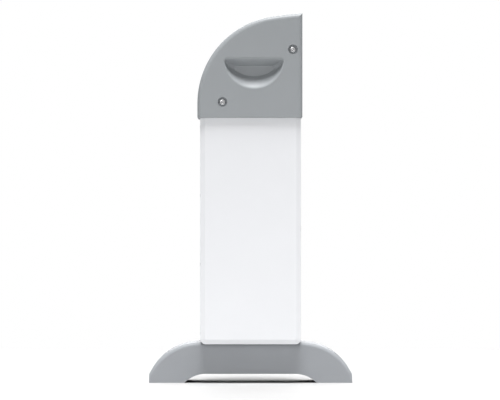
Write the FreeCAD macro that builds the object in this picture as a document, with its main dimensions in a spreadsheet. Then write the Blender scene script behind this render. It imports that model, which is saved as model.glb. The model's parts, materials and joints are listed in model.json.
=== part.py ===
"""Parking pay station: a quarter-round grey head on a white column and a grey bridge foot.

Millimetres. +X faces the user, +Z is up, and the origin is the middle of the footprint on the floor.
Left and right are the user's, so left is -Y. Every size is a cell of the sheet named Sizes.
"""

import FreeCAD
import Part
import math
import os
import re

import Sketcher

SIZES = {
    # whole station
    "total_height": 1250.0,
    "head_height": 353.0,
    "clearance": 0.4,
    # foot: a cast bridge, open below
    "foot_length": 688.0,
    "foot_width": 240.0,
    "foot_height": 136.5,
    "toe_run": 171.0,
    "toe_radius": 190.0,
    "foot_wall": 8.0,
    "foot_edge_radius": 12.0,
    "arch_height": 30.0,
    "sole_length": 120.0,
    "arch_radius": 101.0,
    "anchor_inset": 54.0,
    "anchor_gauge": 130.0,
    "anchor_hole": 14.0,
    "anchor_access": 30.0,
    "anchor_floor": 16.0,
    "anchor_boss": 46.0,
    # bolts between foot and column
    "foot_bolt_span": 200.0,
    "foot_bolt_gauge": 150.0,
    "foot_bolt_size": 12.0,
    "foot_bolt_head": 19.0,
    "foot_bolt_head_height": 8.0,
    "foot_bolt_tail": 3.0,
    "gland_offset": 60.0,
    "gland_bore": 16.0,
    "gland_thread": 25.0,
    "gland_flange": 32.0,
    "gland_nut": 10.0,
    "gland_rise": 14.0,
    "gland_margin": 1.4,
    # column frame
    "frame_inset": 20.0,
    "base_plate_thickness": 8.0,
    "post_size": 25.0,
    "post_wall": 2.0,
    "post_inset": 35.0,
    "top_plate_thickness": 6.0,
    "top_plate_opening": 150.0,
    # column covers
    "column_depth": 340.0,
    "column_width": 340.0,
    "column_skirt": 4.5,
    "cover_wall": 4.0,
    "cover_return": 30.0,
    "cover_bevel": 16.0,
    "cover_bevel_depth": 7.0,
    "cover_corner_radius": 18.0,
    "cover_rim": 10.0,
    "cover_edge_radius": 3.0,
    "hook_margin": 60.0,
    "reveal": 1.5,
    "vent_width": 150.0,
    "vent_height": 5.0,
    "vent_pitch": 14.0,
    "vent_low": 200.0,
    "vent_drop": 117.0,
    # doors, both on pivot pins along the user's left
    "stile": 14.0,
    "door_depth": 16.0,
    "door_skin": 3.0,
    "door_flange": 2.0,
    "pivot_radius": 8.0,
    "pivot_pin": 8.0,
    "pivot_running": 0.1,
    "pivot_engagement": 16.0,
    "bracket_thickness": 4.0,
    "bracket_back": 118.0,
    "bracket_wing": 36.0,
    "bracket_nose": 12.0,
    "bracket_step": 1.0,
    "notch_margin": 0.5,
    "bore_tail": 2.0,
    # head
    "head_front": 175.0,
    "head_back": 179.5,
    "head_width": 360.0,
    "hood_radius": 295.5,
    "crown_radius": 1203.0,
    "crown_angle": 9.0,
    "head_wall": 4.0,
    "head_edge_radius": 14.0,
    "head_bottom_radius": 3.0,
    "cheek_depth": 60.0,
    "hood_lap": 14.0,
    "lap_sheet": 2.0,
    "seam": 1.0,
    "opening_side": 30.0,
    "opening_sill": 6.5,
    "opening_lintel": 17.0,
    "jamb_wall": 3.0,
    "jamb_depth": 25.0,
    "column_gap": 1.0,
    # grip in each cheek
    "grip_offset": 11.5,
    "grip_rise": 199.5,
    "grip_radius": 98.0,
    "grip_corner": 9.0,
    "grip_depth": 40.0,
    "grip_ceiling_drop": 23.5,
    "grip_back_half": 82.0,
    "grip_back_sagitta": 35.0,
    "grip_lip_radius": 5.0,
    "grip_margin": 10.0,
    # screws through each cheek
    "screw_upper_offset": 143.0,
    "screw_upper_rise": 230.5,
    "screw_lower_offset": -94.5,
    "screw_lower_rise": 53.0,
    "screw_recess": 32.5,
    "screw_recess_depth": 10.0,
    "screw_boss": 41.0,
    "screw_size": 12.0,
    "screw_head": 21.0,
    "screw_head_height": 6.5,
    "screw_socket": 8.0,
    "screw_socket_depth": 4.0,
    "standoff_size": 22.0,
    "thread_clearance": 0.05,
    # chassis inside the head
    "chassis_margin": 6.0,
    "chassis_sheet": 3.0,
    "chassis_inset": 14.0,
    "chassis_drop": 11.0,
    "chassis_back": 150.0,
    "chassis_front": 156.0,
    "chassis_floor_front": 110.0,
    # fascia: the head's door
    "fascia_front": 163.0,
    # display
    "display_left": -130.0,
    "display_right": 70.0,
    "display_rise": 191.0,
    "display_height": 128.0,
    "display_lip": 4.0,
    "window_thickness": 3.0,
    "module_depth": 14.0,
    # contactless reader
    "reader_left": 84.0,
    "reader_right": 138.0,
    "reader_rise": 251.0,
    "reader_height": 68.0,
    "reader_proud": 4.0,
    "reader_depth": 20.0,
    # card slot
    "card_rise": 143.0,
    "card_bezel_width": 88.0,
    "card_bezel_height": 40.0,
    "card_bezel_proud": 9.0,
    "card_neck": 6.0,
    "card_bezel_corner": 8.0,
    "card_bezel_chamfer": 2.5,
    "card_mouth_width": 58.0,
    "card_mouth_height": 8.0,
    "card_slot_height": 2.0,
    "card_slot_width": 56.0,
    "card_reader_wall": 5.0,
    "card_reader_depth": 55.0,
    # keypad
    "keypad_centre": -84.0,
    "keypad_rise": 163.0,
    "key_gap": 4.0,
    "key_width": 16.0,
    "key_height": 12.0,
    "key_travel": 1.5,
    "key_proud": 2.0,
    "key_flange": 1.2,
    "key_flange_depth": 2.0,
    "key_rest_gap": 0.2,
    "key_corner": 2.5,
    "key_edge": 0.8,
    "keypad_border": 4.0,
    "keypad_plate": 4.0,
    "keypad_proud": 1.5,
    "keypad_depth": 12.0,
    "keypad_board_depth": 3.0,
    "keypad_wall": 2.0,
    "board_gap": 1.0,
    # coin entry
    "coin_centre": 92.0,
    "coin_rise": 141.0,
    "coin_bezel_width": 36.0,
    "coin_bezel_height": 50.0,
    "coin_bezel_proud": 6.0,
    "coin_slot_width": 3.4,
    "coin_slot_length": 34.0,
    "coin_neck": 5.0,
    "coin_bezel_corner": 10.0,
    "coin_bezel_chamfer": 2.0,
    "validator_depth": 52.0,
    "validator_wall": 10.0,
    "validator_left": 22.0,
    "validator_right": 8.0,
    "validator_below": 48.0,
    "validator_above": 30.0,
    # round push buttons
    "help_offset": 111.0,
    "help_rise": 221.0,
    "help_size": 24.0,
    "speaker_offset": 85.5,
    "speaker_middle": 3.0,
    "speaker_hole": 2.0,
    "speaker_ring": 5.0,
    "reject_offset": 60.0,
    "reject_rise": 141.0,
    "reject_size": 15.0,
    "button_proud": 5.0,
    "button_flange": 2.0,
    "button_flange_depth": 2.5,
    "button_rest_gap": 0.3,
    "button_edge": 1.5,
    # cups behind flaps
    "cup_rise": 17.0,
    "cup_height": 54.0,
    "receipt_left": -112.0,
    "receipt_right": 4.0,
    "coin_cup_left": 42.0,
    "coin_cup_right": 122.0,
    "cup_wall": 2.0,
    "cup_depth": 50.0,
    "cup_rim": 5.0,
    "cup_rim_proud": 2.0,
    "flap_pin": 4.0,
    "flap_running": 0.1,
    "flap_thickness": 3.0,
    "flap_gap": 1.0,
    "flap_lip": 5.0,
    "flap_lip_height": 3.0,
    "flap_lip_inset": 20.0,
    "flap_barrel": 6.0,
    "flap_end_gap": 0.2,
    "flap_axis_drop": 5.5,
    "flap_axis_depth": 5.0,
    "flap_set_back": 1.0,
    # locks
    "lock_size": 19.0,
    "lock_flange": 26.0,
    "lock_flange_depth": 3.0,
    "lock_length": 32.0,
    "lock_core": 12.0,
    "lock_running": 0.1,
    "lock_keyway": 1.8,
    "lock_keyway_height": 8.0,
    "lock_keyway_depth": 6.0,
    "cam_thickness": 4.0,
    "cam_width": 12.0,
    "cam_reach": 28.0,
    "cam_gap": 2.0,
    "cam_washer": 0.5,
    "strike_thickness": 3.0,
    "strike_height": 28.0,
    "strike_start": 18.0,
    "column_lock_offset": 92.0,
    "column_lock_height": 520.0,
    "head_lock_offset": 112.0,
    "head_lock_rise": 179.0,
    # machines inside the head
    "printer_depth": 70.0,
    "printer_width": 110.0,
    "printer_height": 90.0,
    "printer_front": 90.0,
    "printer_foot": 6.0,
    "printer_rise": 88.0,
    "roll_size": 80.0,
    "roll_width": 58.0,
    "roll_offset": -40.0,
    "roll_rise": 163.0,
    "spindle_size": 13.0,
    "holder_sheet": 3.0,
    "holder_half": 15.0,
    "holder_gap": 3.0,
    "spindle_tail": 4.0,
    "controller_depth": 60.0,
    "controller_width": 200.0,
    "controller_height": 60.0,
    "controller_inset": 20.0,
    # machines inside the column
    "vault_depth": 200.0,
    "vault_width": 180.0,
    "vault_height": 220.0,
    "vault_wall": 3.0,
    "vault_slot": 60.0,
    "vault_slot_width": 20.0,
    "vault_stand": 30.0,
    "vault_handle_length": 100.0,
    "vault_handle_span": 90.0,
    "vault_handle_reach": 25.0,
    "shelf_sheet": 4.0,
    "shelf_margin": 10.0,
    "vault_handle_size": 8.0,
    "supply_depth": 90.0,
    "supply_width": 180.0,
    "supply_height": 160.0,
    "supply_bottom": 560.0,
}

# Places and sizes that follow from the ones above.
DERIVED = {
    "foot_flat": "foot_length - 2*toe_run",
    "anchor_span": "foot_length - 2*anchor_inset",
    "column_bottom": "foot_height - column_skirt",
    "panel_bottom": "foot_height + reveal",
    "plate_depth": "column_depth - 2*frame_inset",
    "plate_width": "column_width - 2*frame_inset",
    "post_spacing": "column_depth - 2*post_inset",
    "post_gauge": "column_width - 2*post_inset",
    "head_bottom": "total_height - head_height",
    "vent_high": "head_bottom - vent_drop",
    "opening_width": "head_width - 2*opening_side",
    "opening_bottom": "head_bottom + opening_sill",
    "opening_top": "total_height - opening_lintel",
    "chassis_width": "opening_width + 2*chassis_margin",
    "grip_top": "head_bottom + grip_rise",
    "grip_back_top": "grip_top - grip_ceiling_drop",
    "screw_upper_height": "head_bottom + screw_upper_rise",
    "screw_lower_height": "head_bottom + screw_lower_rise",
    "display_bottom": "head_bottom + display_rise",
    "display_top": "display_bottom + display_height",
    "reader_bottom": "head_bottom + reader_rise",
    "reader_top": "reader_bottom + reader_height",
    "card_centre_height": "head_bottom + card_rise",
    "keypad_top_row": "head_bottom + keypad_rise",
    "key_pitch_across": "key_width + key_gap",
    "key_pitch_down": "key_height + key_gap",
    "coin_height": "head_bottom + coin_rise",
    "help_height": "head_bottom + help_rise",
    "reject_height": "head_bottom + reject_rise",
    "cup_bottom": "head_bottom + cup_rise",
    "cup_top": "cup_bottom + cup_height",
    "head_lock_height": "head_bottom + head_lock_rise",
    "printer_bottom": "head_bottom + printer_rise",
    "roll_height": "head_bottom + roll_rise",
}

doc = FreeCAD.newDocument("PayStation")
sheet = doc.addObject("Spreadsheet::Sheet", "Sizes")
cells = {alias: str(number) for alias, number in SIZES.items()}
cells.update({alias: "=" + formula for alias, formula in DERIVED.items()})
for row, (alias, content) in enumerate(cells.items(), start=1):
    sheet.set(f"A{row}", alias.replace("_", " "))
    sheet.set(f"B{row}", content)
    sheet.setAlias(f"B{row}", alias)
doc.recompute()

# Places that several pieces share, written with the sheet's names.
COLUMN_FRONT = "column_depth/2"
HEAD_SIDE = "head_width/2"
PLATE_TOP = "foot_height + base_plate_thickness"
TOP_PLATE_TOP = "(head_bottom - chassis_drop)"
POST_TOP = f"{TOP_PLATE_TOP} - top_plate_thickness"
DOOR_HALF = "(column_width/2 - cover_return - reveal)"
FASCIA_HALF = "(opening_width/2 - reveal)"
FASCIA_BACK = "(fascia_front - door_skin)"
MACHINE_FLOOR = "(head_bottom - chassis_drop + chassis_sheet)"
FASCIA_BOTTOM = "opening_bottom + reveal"
FASCIA_TOP = "opening_top - reveal"
DOOR_TOP = "head_bottom - reveal"
COLUMN_PIVOT = ("column_depth/2 - pivot_radius", f"pivot_radius - {DOOR_HALF}")
HEAD_PIVOT = ("fascia_front - pivot_radius", f"pivot_radius - {FASCIA_HALF}")


def size(alias):
    """A cell of the sheet as a number."""
    return float(sheet.get(alias))


def bind(text):
    """An expression with every size's name pointed at its cell."""
    return re.sub(r"[a-z][a-z_]+", lambda m: f"Sizes.{m[0]}" if m[0] in cells else m[0], text)


def rectangle(u_low, u_high, v_low, v_high):
    """A rectangle for a sketch, between four places."""

    def draw(sketch):
        first = sketch.GeometryCount
        corners = [FreeCAD.Vector(*p, 0) for p in ((0, 0), (1, 0), (1, 1), (0, 1))]
        for i in range(4):
            sketch.addGeometry(Part.LineSegment(corners[i], corners[(i + 1) % 4]), False)
        for i in range(4):
            sketch.addConstraint(Sketcher.Constraint("Coincident", first + i, 2, first + (i + 1) % 4, 1))
            kind = "Horizontal" if i % 2 == 0 else "Vertical"
            sketch.addConstraint(Sketcher.Constraint(kind, first + i))
        for kind, edge, place in (
            ("DistanceX", 0, u_low),
            ("DistanceY", 0, v_low),
            ("DistanceX", 2, u_high),
            ("DistanceY", 2, v_high),
        ):
            at = sketch.addConstraint(Sketcher.Constraint(kind, -1, 1, first + edge, 1, 1.0))
            sketch.setExpression(f"Constraints[{at}]", bind(place))

    return draw


def centred(u, v, width, height):
    """A rectangle for a sketch, about its middle."""
    return rectangle(
        f"{u} - ({width})/2", f"{u} + ({width})/2", f"{v} - ({height})/2", f"{v} + ({height})/2"
    )


def circle(u, v, diameter):
    """A circle for a sketch."""

    def draw(sketch):
        ring = sketch.addGeometry(Part.Circle(FreeCAD.Vector(1, 1, 0), FreeCAD.Vector(0, 0, 1), 1), False)
        for kind, place in (("DistanceX", u), ("DistanceY", v)):
            at = sketch.addConstraint(Sketcher.Constraint(kind, -1, 1, ring, 3, 1.0))
            sketch.setExpression(f"Constraints[{at}]", bind(place))
        at = sketch.addConstraint(Sketcher.Constraint("Diameter", ring, 2.0))
        sketch.setExpression(f"Constraints[{at}]", bind(diameter))

    return draw


class Piece:
    """A PartDesign body made of pads and pockets between two places along a world axis.

    A sketch on XY reads x, y; on YZ it reads y, z; on XZ it reads x, z. That last plane's normal is -Y.
    """

    def __init__(self, label):
        self.body = doc.addObject("PartDesign::Body", label)
        self.body.Label = label
        self.body.AllowCompound = True
        self.made = 0

    def feature(self, kind, plane, low, high, shapes):
        self.made += 1
        name = f"{self.body.Name}_{kind}{self.made}"
        sketch = self.body.newObject("Sketcher::SketchObject", name + "_sketch")
        origin = [f for f in self.body.Origin.OriginFeatures if f.Role == plane + "_Plane"]
        sketch.AttachmentSupport = [(origin[0], "")]
        sketch.MapMode = "FlatFace"
        place = f"-({high})" if plane == "XZ" else low
        sketch.setExpression(".AttachmentOffset.Base.z", bind(place))
        for shape in shapes:
            shape(sketch)
        made = self.body.newObject("PartDesign::" + kind, name)
        made.Profile = sketch
        made.setExpression("Length", bind(f"({high}) - ({low})"))
        made.Reversed = kind == "Pocket"
        return made

    def pad(self, plane, low, high, *shapes):
        self.feature("Pad", plane, low, high, shapes)
        return self

    def cut(self, plane, low, high, *shapes):
        self.feature("Pocket", plane, low, high, shapes)
        return self

    def dress(self, kind, chosen, **bound):
        """A fillet or chamfer on the edges whose bounding box passes the test."""
        doc.recompute()
        tip = self.body.Tip
        edges = [f"Edge{i + 1}" for i, e in enumerate(tip.Shape.Edges) if chosen(e.BoundBox)]
        self.made += 1
        made = self.body.newObject("PartDesign::" + kind, f"{self.body.Name}_{kind}{self.made}")
        made.Base = (tip, edges)
        for name, text in bound.items():
            made.setExpression(name, bind(text))
        return made


def box_piece(label, x, y, z):
    """A plain rectangular body between (low, high) places on each axis."""
    return Piece(label).pad("XY", z[0], z[1], rectangle(*x, *y))


def near(a, b):
    return abs(a - b) < 0.01


def upright(box):
    """True for a straight edge along Z."""
    return box.XLength < 0.01 and box.YLength < 0.01


def four(u, v):
    """The four mirror images of a point, as pairs of places."""
    return [(f"{a}({u})", f"{b}({v})") for a in ("-", "") for b in ("-", "")]


# ---------------------------------------------------------------- foot


def make_foot():
    """Bridge profile padded across the width, hollowed from below, with an anchor boss in each toe corner."""
    half, flat, top = size("foot_length") / 2, size("foot_flat") / 2, size("foot_height")
    toe, arch, arch_top = size("toe_radius"), size("arch_radius"), size("arch_height")
    end = top - toe + math.sqrt(toe**2 - (half - flat) ** 2)
    heel = half - size("sole_length")
    arch_half = heel - math.sqrt(arch**2 - (arch - arch_top) ** 2)
    foot = Piece("foot_casting")

    def bridge(sketch):
        """Ten edges: two soles, two ends, two toe arcs, the top, and the arch's roof with its two arcs."""
        point = FreeCAD.Vector
        up = point(0, 0, 1)
        toe_angle = math.atan2(end - (top - toe), half - flat)
        arch_angle = math.atan2(arch - arch_top, heel - arch_half)

        def arc(x, z, radius, start, stop):
            return Part.ArcOfCircle(Part.Circle(point(x, z, 0), up, radius), start, stop)

        edges = [
            Part.LineSegment(point(-half, 0, 0), point(-heel, 0, 0)),
            arc(-arch_half, arch_top - arch, arch, math.pi / 2, math.pi - arch_angle),
            Part.LineSegment(point(-arch_half, arch_top, 0), point(arch_half, arch_top, 0)),
            arc(arch_half, arch_top - arch, arch, arch_angle, math.pi / 2),
            Part.LineSegment(point(heel, 0, 0), point(half, 0, 0)),
            Part.LineSegment(point(half, 0, 0), point(half, end, 0)),
            arc(flat, top - toe, toe, toe_angle, math.pi / 2),
            Part.LineSegment(point(flat, top, 0), point(-flat, top, 0)),
            arc(-flat, top - toe, toe, math.pi / 2, math.pi - toe_angle),
            Part.LineSegment(point(-half, end, 0), point(-half, 0, 0)),
        ]
        for edge in edges:
            sketch.addGeometry(edge, False)
        sole_1, arch_1, roof, arch_2, sole_2, end_2, toe_2, crown, toe_1, end_1 = range(10)
        for a, a_end, b, b_end in (
            (sole_1, 2, arch_1, 2),
            (arch_2, 1, sole_2, 1),
            (sole_2, 2, end_2, 1),
            (end_2, 2, toe_2, 1),
            (toe_1, 2, end_1, 1),
            (end_1, 2, sole_1, 1),
        ):
            sketch.addConstraint(Sketcher.Constraint("Coincident", a, a_end, b, b_end))
        for a, a_end, b, b_end in (
            (arch_1, 1, roof, 1),
            (roof, 2, arch_2, 2),
            (toe_2, 2, crown, 1),
            (crown, 2, toe_1, 1),
        ):
            sketch.addConstraint(Sketcher.Constraint("Tangent", a, a_end, b, b_end))
        for edge in (sole_1, roof, sole_2, crown):
            sketch.addConstraint(Sketcher.Constraint("Horizontal", edge))
        for edge in (end_1, end_2):
            sketch.addConstraint(Sketcher.Constraint("Vertical", edge))
        for kind, edge, vertex, number, place in (
            ("DistanceX", end_1, 1, -half, "-foot_length/2"),
            ("DistanceX", end_2, 1, half, "foot_length/2"),
            ("DistanceX", crown, 2, -flat, "-foot_flat/2"),
            ("DistanceX", crown, 1, flat, "foot_flat/2"),
            ("DistanceY", crown, 1, top, "foot_height"),
            ("DistanceX", sole_1, 2, -heel, "sole_length - foot_length/2"),
            ("DistanceX", sole_2, 1, heel, "foot_length/2 - sole_length"),
            ("DistanceY", roof, 1, arch_top, "arch_height"),
        ):
            at = sketch.addConstraint(Sketcher.Constraint(kind, -1, 1, edge, vertex, number))
            sketch.setExpression(f"Constraints[{at}]", bind(place))
        for edge in (sole_1, sole_2):
            sketch.addConstraint(Sketcher.Constraint("PointOnObject", edge, 1, -1))
        for edge, number, place in (
            (toe_1, toe, "toe_radius"),
            (toe_2, toe, "toe_radius"),
            (arch_1, arch, "arch_radius"),
            (arch_2, arch, "arch_radius"),
        ):
            at = sketch.addConstraint(Sketcher.Constraint("Radius", edge, number))
            sketch.setExpression(f"Constraints[{at}]", bind(place))

    foot.pad("XZ", "-foot_width/2", "foot_width/2", bridge)
    side = size("foot_width") / 2
    foot.dress(
        "Fillet",
        lambda b: near(abs(b.YMin), side) and b.YLength < 0.01 and b.ZMax > max(arch_top, end - 1) + 0.01,
        Radius="foot_edge_radius",
    )
    doc.recompute()
    body = foot.body.Tip.Shape
    wall = size("foot_wall")
    # The hollow is the same bridge without its arch, drawn in by the wall and left open at the floor.
    inner_end = half - wall
    inner_toe = toe - wall
    low = top - toe + math.sqrt(inner_toe**2 - (inner_end - flat) ** 2)

    def hollow_face():
        point = FreeCAD.Vector
        centre = top - toe
        middle = math.radians(60)
        mid = (flat + inner_toe * math.cos(middle), centre + inner_toe * math.sin(middle))
        right = Part.Arc(
            point(inner_end, 0, low), point(mid[0], 0, mid[1]), point(flat, 0, top - wall)
        ).toShape()
        left = Part.Arc(
            point(-flat, 0, top - wall), point(-mid[0], 0, mid[1]), point(-inner_end, 0, low)
        ).toShape()
        outline = [
            Part.makeLine(point(-inner_end, 0, -1), point(inner_end, 0, -1)),
            Part.makeLine(point(inner_end, 0, -1), point(inner_end, 0, low)),
            right,
            Part.makeLine(point(flat, 0, top - wall), point(-flat, 0, top - wall)),
            left,
            Part.makeLine(point(-inner_end, 0, low), point(-inner_end, 0, -1)),
        ]
        return Part.Face(Part.Wire(outline))

    inner_half = side - wall
    hollow = hollow_face().extrude(FreeCAD.Vector(0, 2 * inner_half, 0))
    hollow.translate(FreeCAD.Vector(0, -inner_half, 0))
    down = FreeCAD.Vector(0, 0, 1)
    bosses, holes = [], []
    for sx in (-1, 1):
        for sy in (-1, 1):
            x, y = sx * size("anchor_span") / 2, sy * size("anchor_gauge") / 2
            bosses.append(Part.makeCylinder(size("anchor_boss") / 2, top, FreeCAD.Vector(x, y, 0), down))
            holes.append(Part.makeCylinder(size("anchor_hole") / 2, top, FreeCAD.Vector(x, y, -1), down))
            access = FreeCAD.Vector(x, y, size("anchor_floor"))
            holes.append(Part.makeCylinder(size("anchor_access") / 2, top, access, down))
            x, y = sx * size("foot_bolt_span") / 2, sy * size("foot_bolt_gauge") / 2
            bore = size("foot_bolt_size") / 2 + size("clearance")
            holes.append(Part.makeCylinder(bore, top, FreeCAD.Vector(x, y, top / 2), down))
    gland = FreeCAD.Vector(-size("gland_offset"), 0, top / 2)
    holes.append(Part.makeCylinder(size("gland_flange") / 2 + size("gland_margin"), top, gland, down))
    ribs = [
        Part.makeBox(wall, 2 * side, top, FreeCAD.Vector(x - wall / 2, -side, arch_top + wall))
        for x in (-arch_half, 0.0, arch_half)
    ]
    kept = Part.makeCompound(bosses + ribs).common(body)
    shape = body.cut(hollow).fuse(kept).cut(Part.makeCompound(holes)).removeSplitter()
    return whole("foot", shape)


def whole(label, shape):
    """A finished shape as an object of the document."""
    made = doc.addObject("Part::Feature", label + "_part")
    made.Label = label
    made.Shape = shape
    made.Placement = FreeCAD.Placement()
    return made


def make_foot_bolts():
    """Four bolts up through the foot's top and the base plate, each with its nut."""
    head_top = "foot_height - foot_wall"
    nut_top = f"{PLATE_TOP} + foot_bolt_head_height"
    spots = four("foot_bolt_span/2", "foot_bolt_gauge/2")
    bolts = Piece("foot_bolts")
    heads = [circle(*p, "foot_bolt_head") for p in spots]
    bolts.pad("XY", f"{head_top} - foot_bolt_head_height", head_top, *heads)
    bolts.pad("XY", head_top, f"{nut_top} + foot_bolt_tail", *[circle(*p, "foot_bolt_size") for p in spots])
    bolts.pad("XY", PLATE_TOP, nut_top, *heads)
    return bolts.body


def make_base_plate():
    plate = Piece("base_plate")
    spots = four("foot_bolt_span/2", "foot_bolt_gauge/2")
    holes = [circle(*p, "foot_bolt_size + 2*clearance") for p in spots]
    plate.pad(
        "XY", "foot_height", PLATE_TOP, centred("0", "0", "plate_depth", "plate_width"), *holes,
        circle("-gland_offset", "0", "gland_thread"),
    )
    return plate.body


def make_gland():
    """The mains cable's way in: a flanged, bored gland through the base plate."""
    gland = Piece("cable_gland")
    bore = circle("-gland_offset", "0", "gland_bore")
    flange = circle("-gland_offset", "0", "gland_flange")
    gland.pad("XY", "foot_height - foot_wall - gland_nut", "foot_height", flange, bore)
    gland.pad("XY", "foot_height", PLATE_TOP, circle("-gland_offset", "0", "gland_thread"), bore)
    gland.pad("XY", PLATE_TOP, f"{PLATE_TOP} + gland_rise", flange, bore)
    return gland.body


# ---------------------------------------------------------------- column


def make_frame():
    """The welded frame: four square tubes with a plate across their tops."""
    frame = Piece("column_frame")
    tubes = []
    for spot in four("post_spacing/2", "post_gauge/2"):
        tubes.append(centred(*spot, "post_size", "post_size"))
        tubes.append(centred(*spot, "post_size - 2*post_wall", "post_size - 2*post_wall"))
    frame.pad("XY", PLATE_TOP, POST_TOP, *tubes)
    frame.pad(
        "XY", POST_TOP, TOP_PLATE_TOP, centred("0", "0", "plate_depth", "plate_width"),
        centred("0", "0", "top_plate_opening", "top_plate_opening"),
    )
    return frame.body


def make_column_side(label, side):
    """A tray that wraps a third of the front and back, with a bevelled strip round its outer edges."""
    face = size("column_width") / 2
    cover = Piece(label)
    low, high = ("-column_width/2", "cover_return - column_width/2")
    inner = ("cover_wall - column_width/2", "cover_return - column_width/2 + 1")
    if side > 0:
        low, high = ("column_width/2 - cover_return", "column_width/2")
        inner = ("column_width/2 - cover_return - 1", "column_width/2 - cover_wall")
    top = "head_bottom + column_gap"
    cover.pad("XZ", low, high, rectangle(f"-{COLUMN_FRONT}", COLUMN_FRONT, "column_bottom", top))
    outer = side * face
    bottom = size("column_bottom")
    cover.dress("Fillet", lambda b: near(b.ZMax, bottom) and b.XLength < 0.01, Radius="cover_corner_radius")
    on_face = lambda b: near(b.YMin, outer) and near(b.YMax, outer)
    outline_top = size("head_bottom") + size("column_gap")
    chamfer = cover.dress("Chamfer", lambda b: on_face(b) and b.ZMin < outline_top - 0.01)
    chamfer.ChamferType = "Two distances"
    chamfer.setExpression("Size", bind("cover_bevel"))
    chamfer.setExpression("Size2", bind("cover_bevel_depth"))
    doc.recompute()
    # The long leg of the bevel lies along the face, whichever way round the edges were read.
    flat = [f.BoundBox for f in chamfer.Shape.Faces if on_face(f.BoundBox)]
    if size("column_depth") - max(b.XLength for b in flat) < size("cover_bevel"):
        chamfer.FlipDirection = True
        doc.recompute()
    rim = outer - side * size("cover_bevel_depth")
    cover.dress("Fillet", lambda b: near(b.YMin, rim) and near(b.YMax, rim), Radius="cover_edge_radius")
    rim_x = (f"cover_rim - {COLUMN_FRONT}", f"{COLUMN_FRONT} - cover_rim")
    cover.cut("XZ", *inner, rectangle(*rim_x, "column_bottom + cover_rim", f"{top} + 1"))
    # The rim thins to a wall where the base plate reaches over it.
    over_plate = ("plate_width/2 + reveal", "column_width/2 - cover_return - 1")
    if side < 0:
        over_plate = ("cover_return - column_width/2 + 1", "-plate_width/2 - reveal")
    thinned = ("column_bottom + cover_wall", "column_bottom + cover_rim + 1")
    cover.cut("XY", *thinned, rectangle(*rim_x, *over_plate))
    # Two ribs bear on the outer faces of the posts.
    rib = ("cover_wall - column_width/2", "-post_gauge/2 - post_size/2")
    if side > 0:
        rib = ("post_gauge/2 + post_size/2", "column_width/2 - cover_wall")
    for post in ("-", ""):
        middle = f"{post}post_spacing/2"
        cover.pad(
            "XY", f"{PLATE_TOP} + hook_margin", f"{POST_TOP} - hook_margin",
            rectangle(f"{middle} - cover_wall/2", f"{middle} + cover_wall/2", *rib),
        )
    return cover.body


def make_rear_panel():
    panel = Piece("rear_panel")
    half = f"({DOOR_HALF} + reveal - clearance)"
    back = f"-{COLUMN_FRONT}"
    outline = rectangle(f"-{half}", half, "panel_bottom", "head_bottom + column_gap")
    panel.pad("YZ", back, f"{back} + cover_wall", outline)
    slots = [
        centred("0", f"{start} + {i}*vent_pitch", "vent_width", "vent_height")
        for start in ("vent_low", "vent_high")
        for i in range(5)
    ]
    panel.cut("YZ", f"{back} - 1", f"{back} + cover_wall + 1", *slots)
    hook_x = (f"{back} + cover_wall", "-post_spacing/2 - post_size/2")
    hook_z = (f"{PLATE_TOP} + hook_margin", f"{POST_TOP} - hook_margin")
    for side in ("-", ""):
        hook_y = (f"{side}post_gauge/2 - cover_wall/2", f"{side}post_gauge/2 + cover_wall/2")
        panel.pad("XZ", *hook_y, rectangle(*hook_x, *hook_z))
    return panel.body


def door_shell(label, front, half, low, high, notch_low, notch_high, openings):
    """A door: skin, return flanges and a solid stile, rounded about its pivot and notched at its ends."""
    back = f"{front} - door_depth"
    door = Piece(label)
    door.pad("YZ", back, front, rectangle(f"-{half}", half, low, high))
    tray_y = (f"stile - {half}", f"{half} - door_flange")
    tray_z = (f"{low} + door_flange", f"{high} - door_flange")
    door.cut("YZ", f"{back} - 1", f"{front} - door_skin", rectangle(*tray_y, *tray_z))
    doc.recompute()
    box = door.body.Shape.BoundBox
    at_pivot = lambda b: upright(b) and near(b.XMin, box.XMax) and near(b.YMin, box.YMin)
    door.dress("Fillet", at_pivot, Radius="pivot_radius - 0.01")
    stile = (f"-{half} - 1", f"stile - {half} + notch_margin")
    door.cut("YZ", f"{back} - 1", f"{front} + 1", rectangle(*stile, f"{low} - 1", notch_low))
    door.cut("YZ", f"{back} - 1", f"{front} + 1", rectangle(*stile, notch_high, f"{high} + 1"))
    pivot = circle(f"{front} - pivot_radius", f"pivot_radius - {half}", "pivot_pin + pivot_running")
    door.cut("XY", f"{notch_low} - 1", f"{notch_low} + pivot_engagement + bore_tail", pivot)
    door.cut("XY", f"{notch_high} - pivot_engagement - bore_tail", f"{notch_high} + 1", pivot)
    if openings:
        door.cut("YZ", f"{front} - door_skin - 1", f"{front} + 1", *openings)
    return door.body


COLUMN_NOTCHES = (
    f"{PLATE_TOP} + bracket_thickness + reveal",
    f"{TOP_PLATE_TOP} - reveal",
)
HEAD_NOTCHES = (
    "opening_bottom + bracket_thickness + reveal",
    "opening_top - bracket_thickness - reveal",
)


def make_column_door():
    lock = circle("column_lock_offset", "column_lock_height", "lock_size + 2*clearance")
    return door_shell(
        "column_door", COLUMN_FRONT, DOOR_HALF, "panel_bottom", DOOR_TOP, *COLUMN_NOTCHES, [lock]
    )


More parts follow.
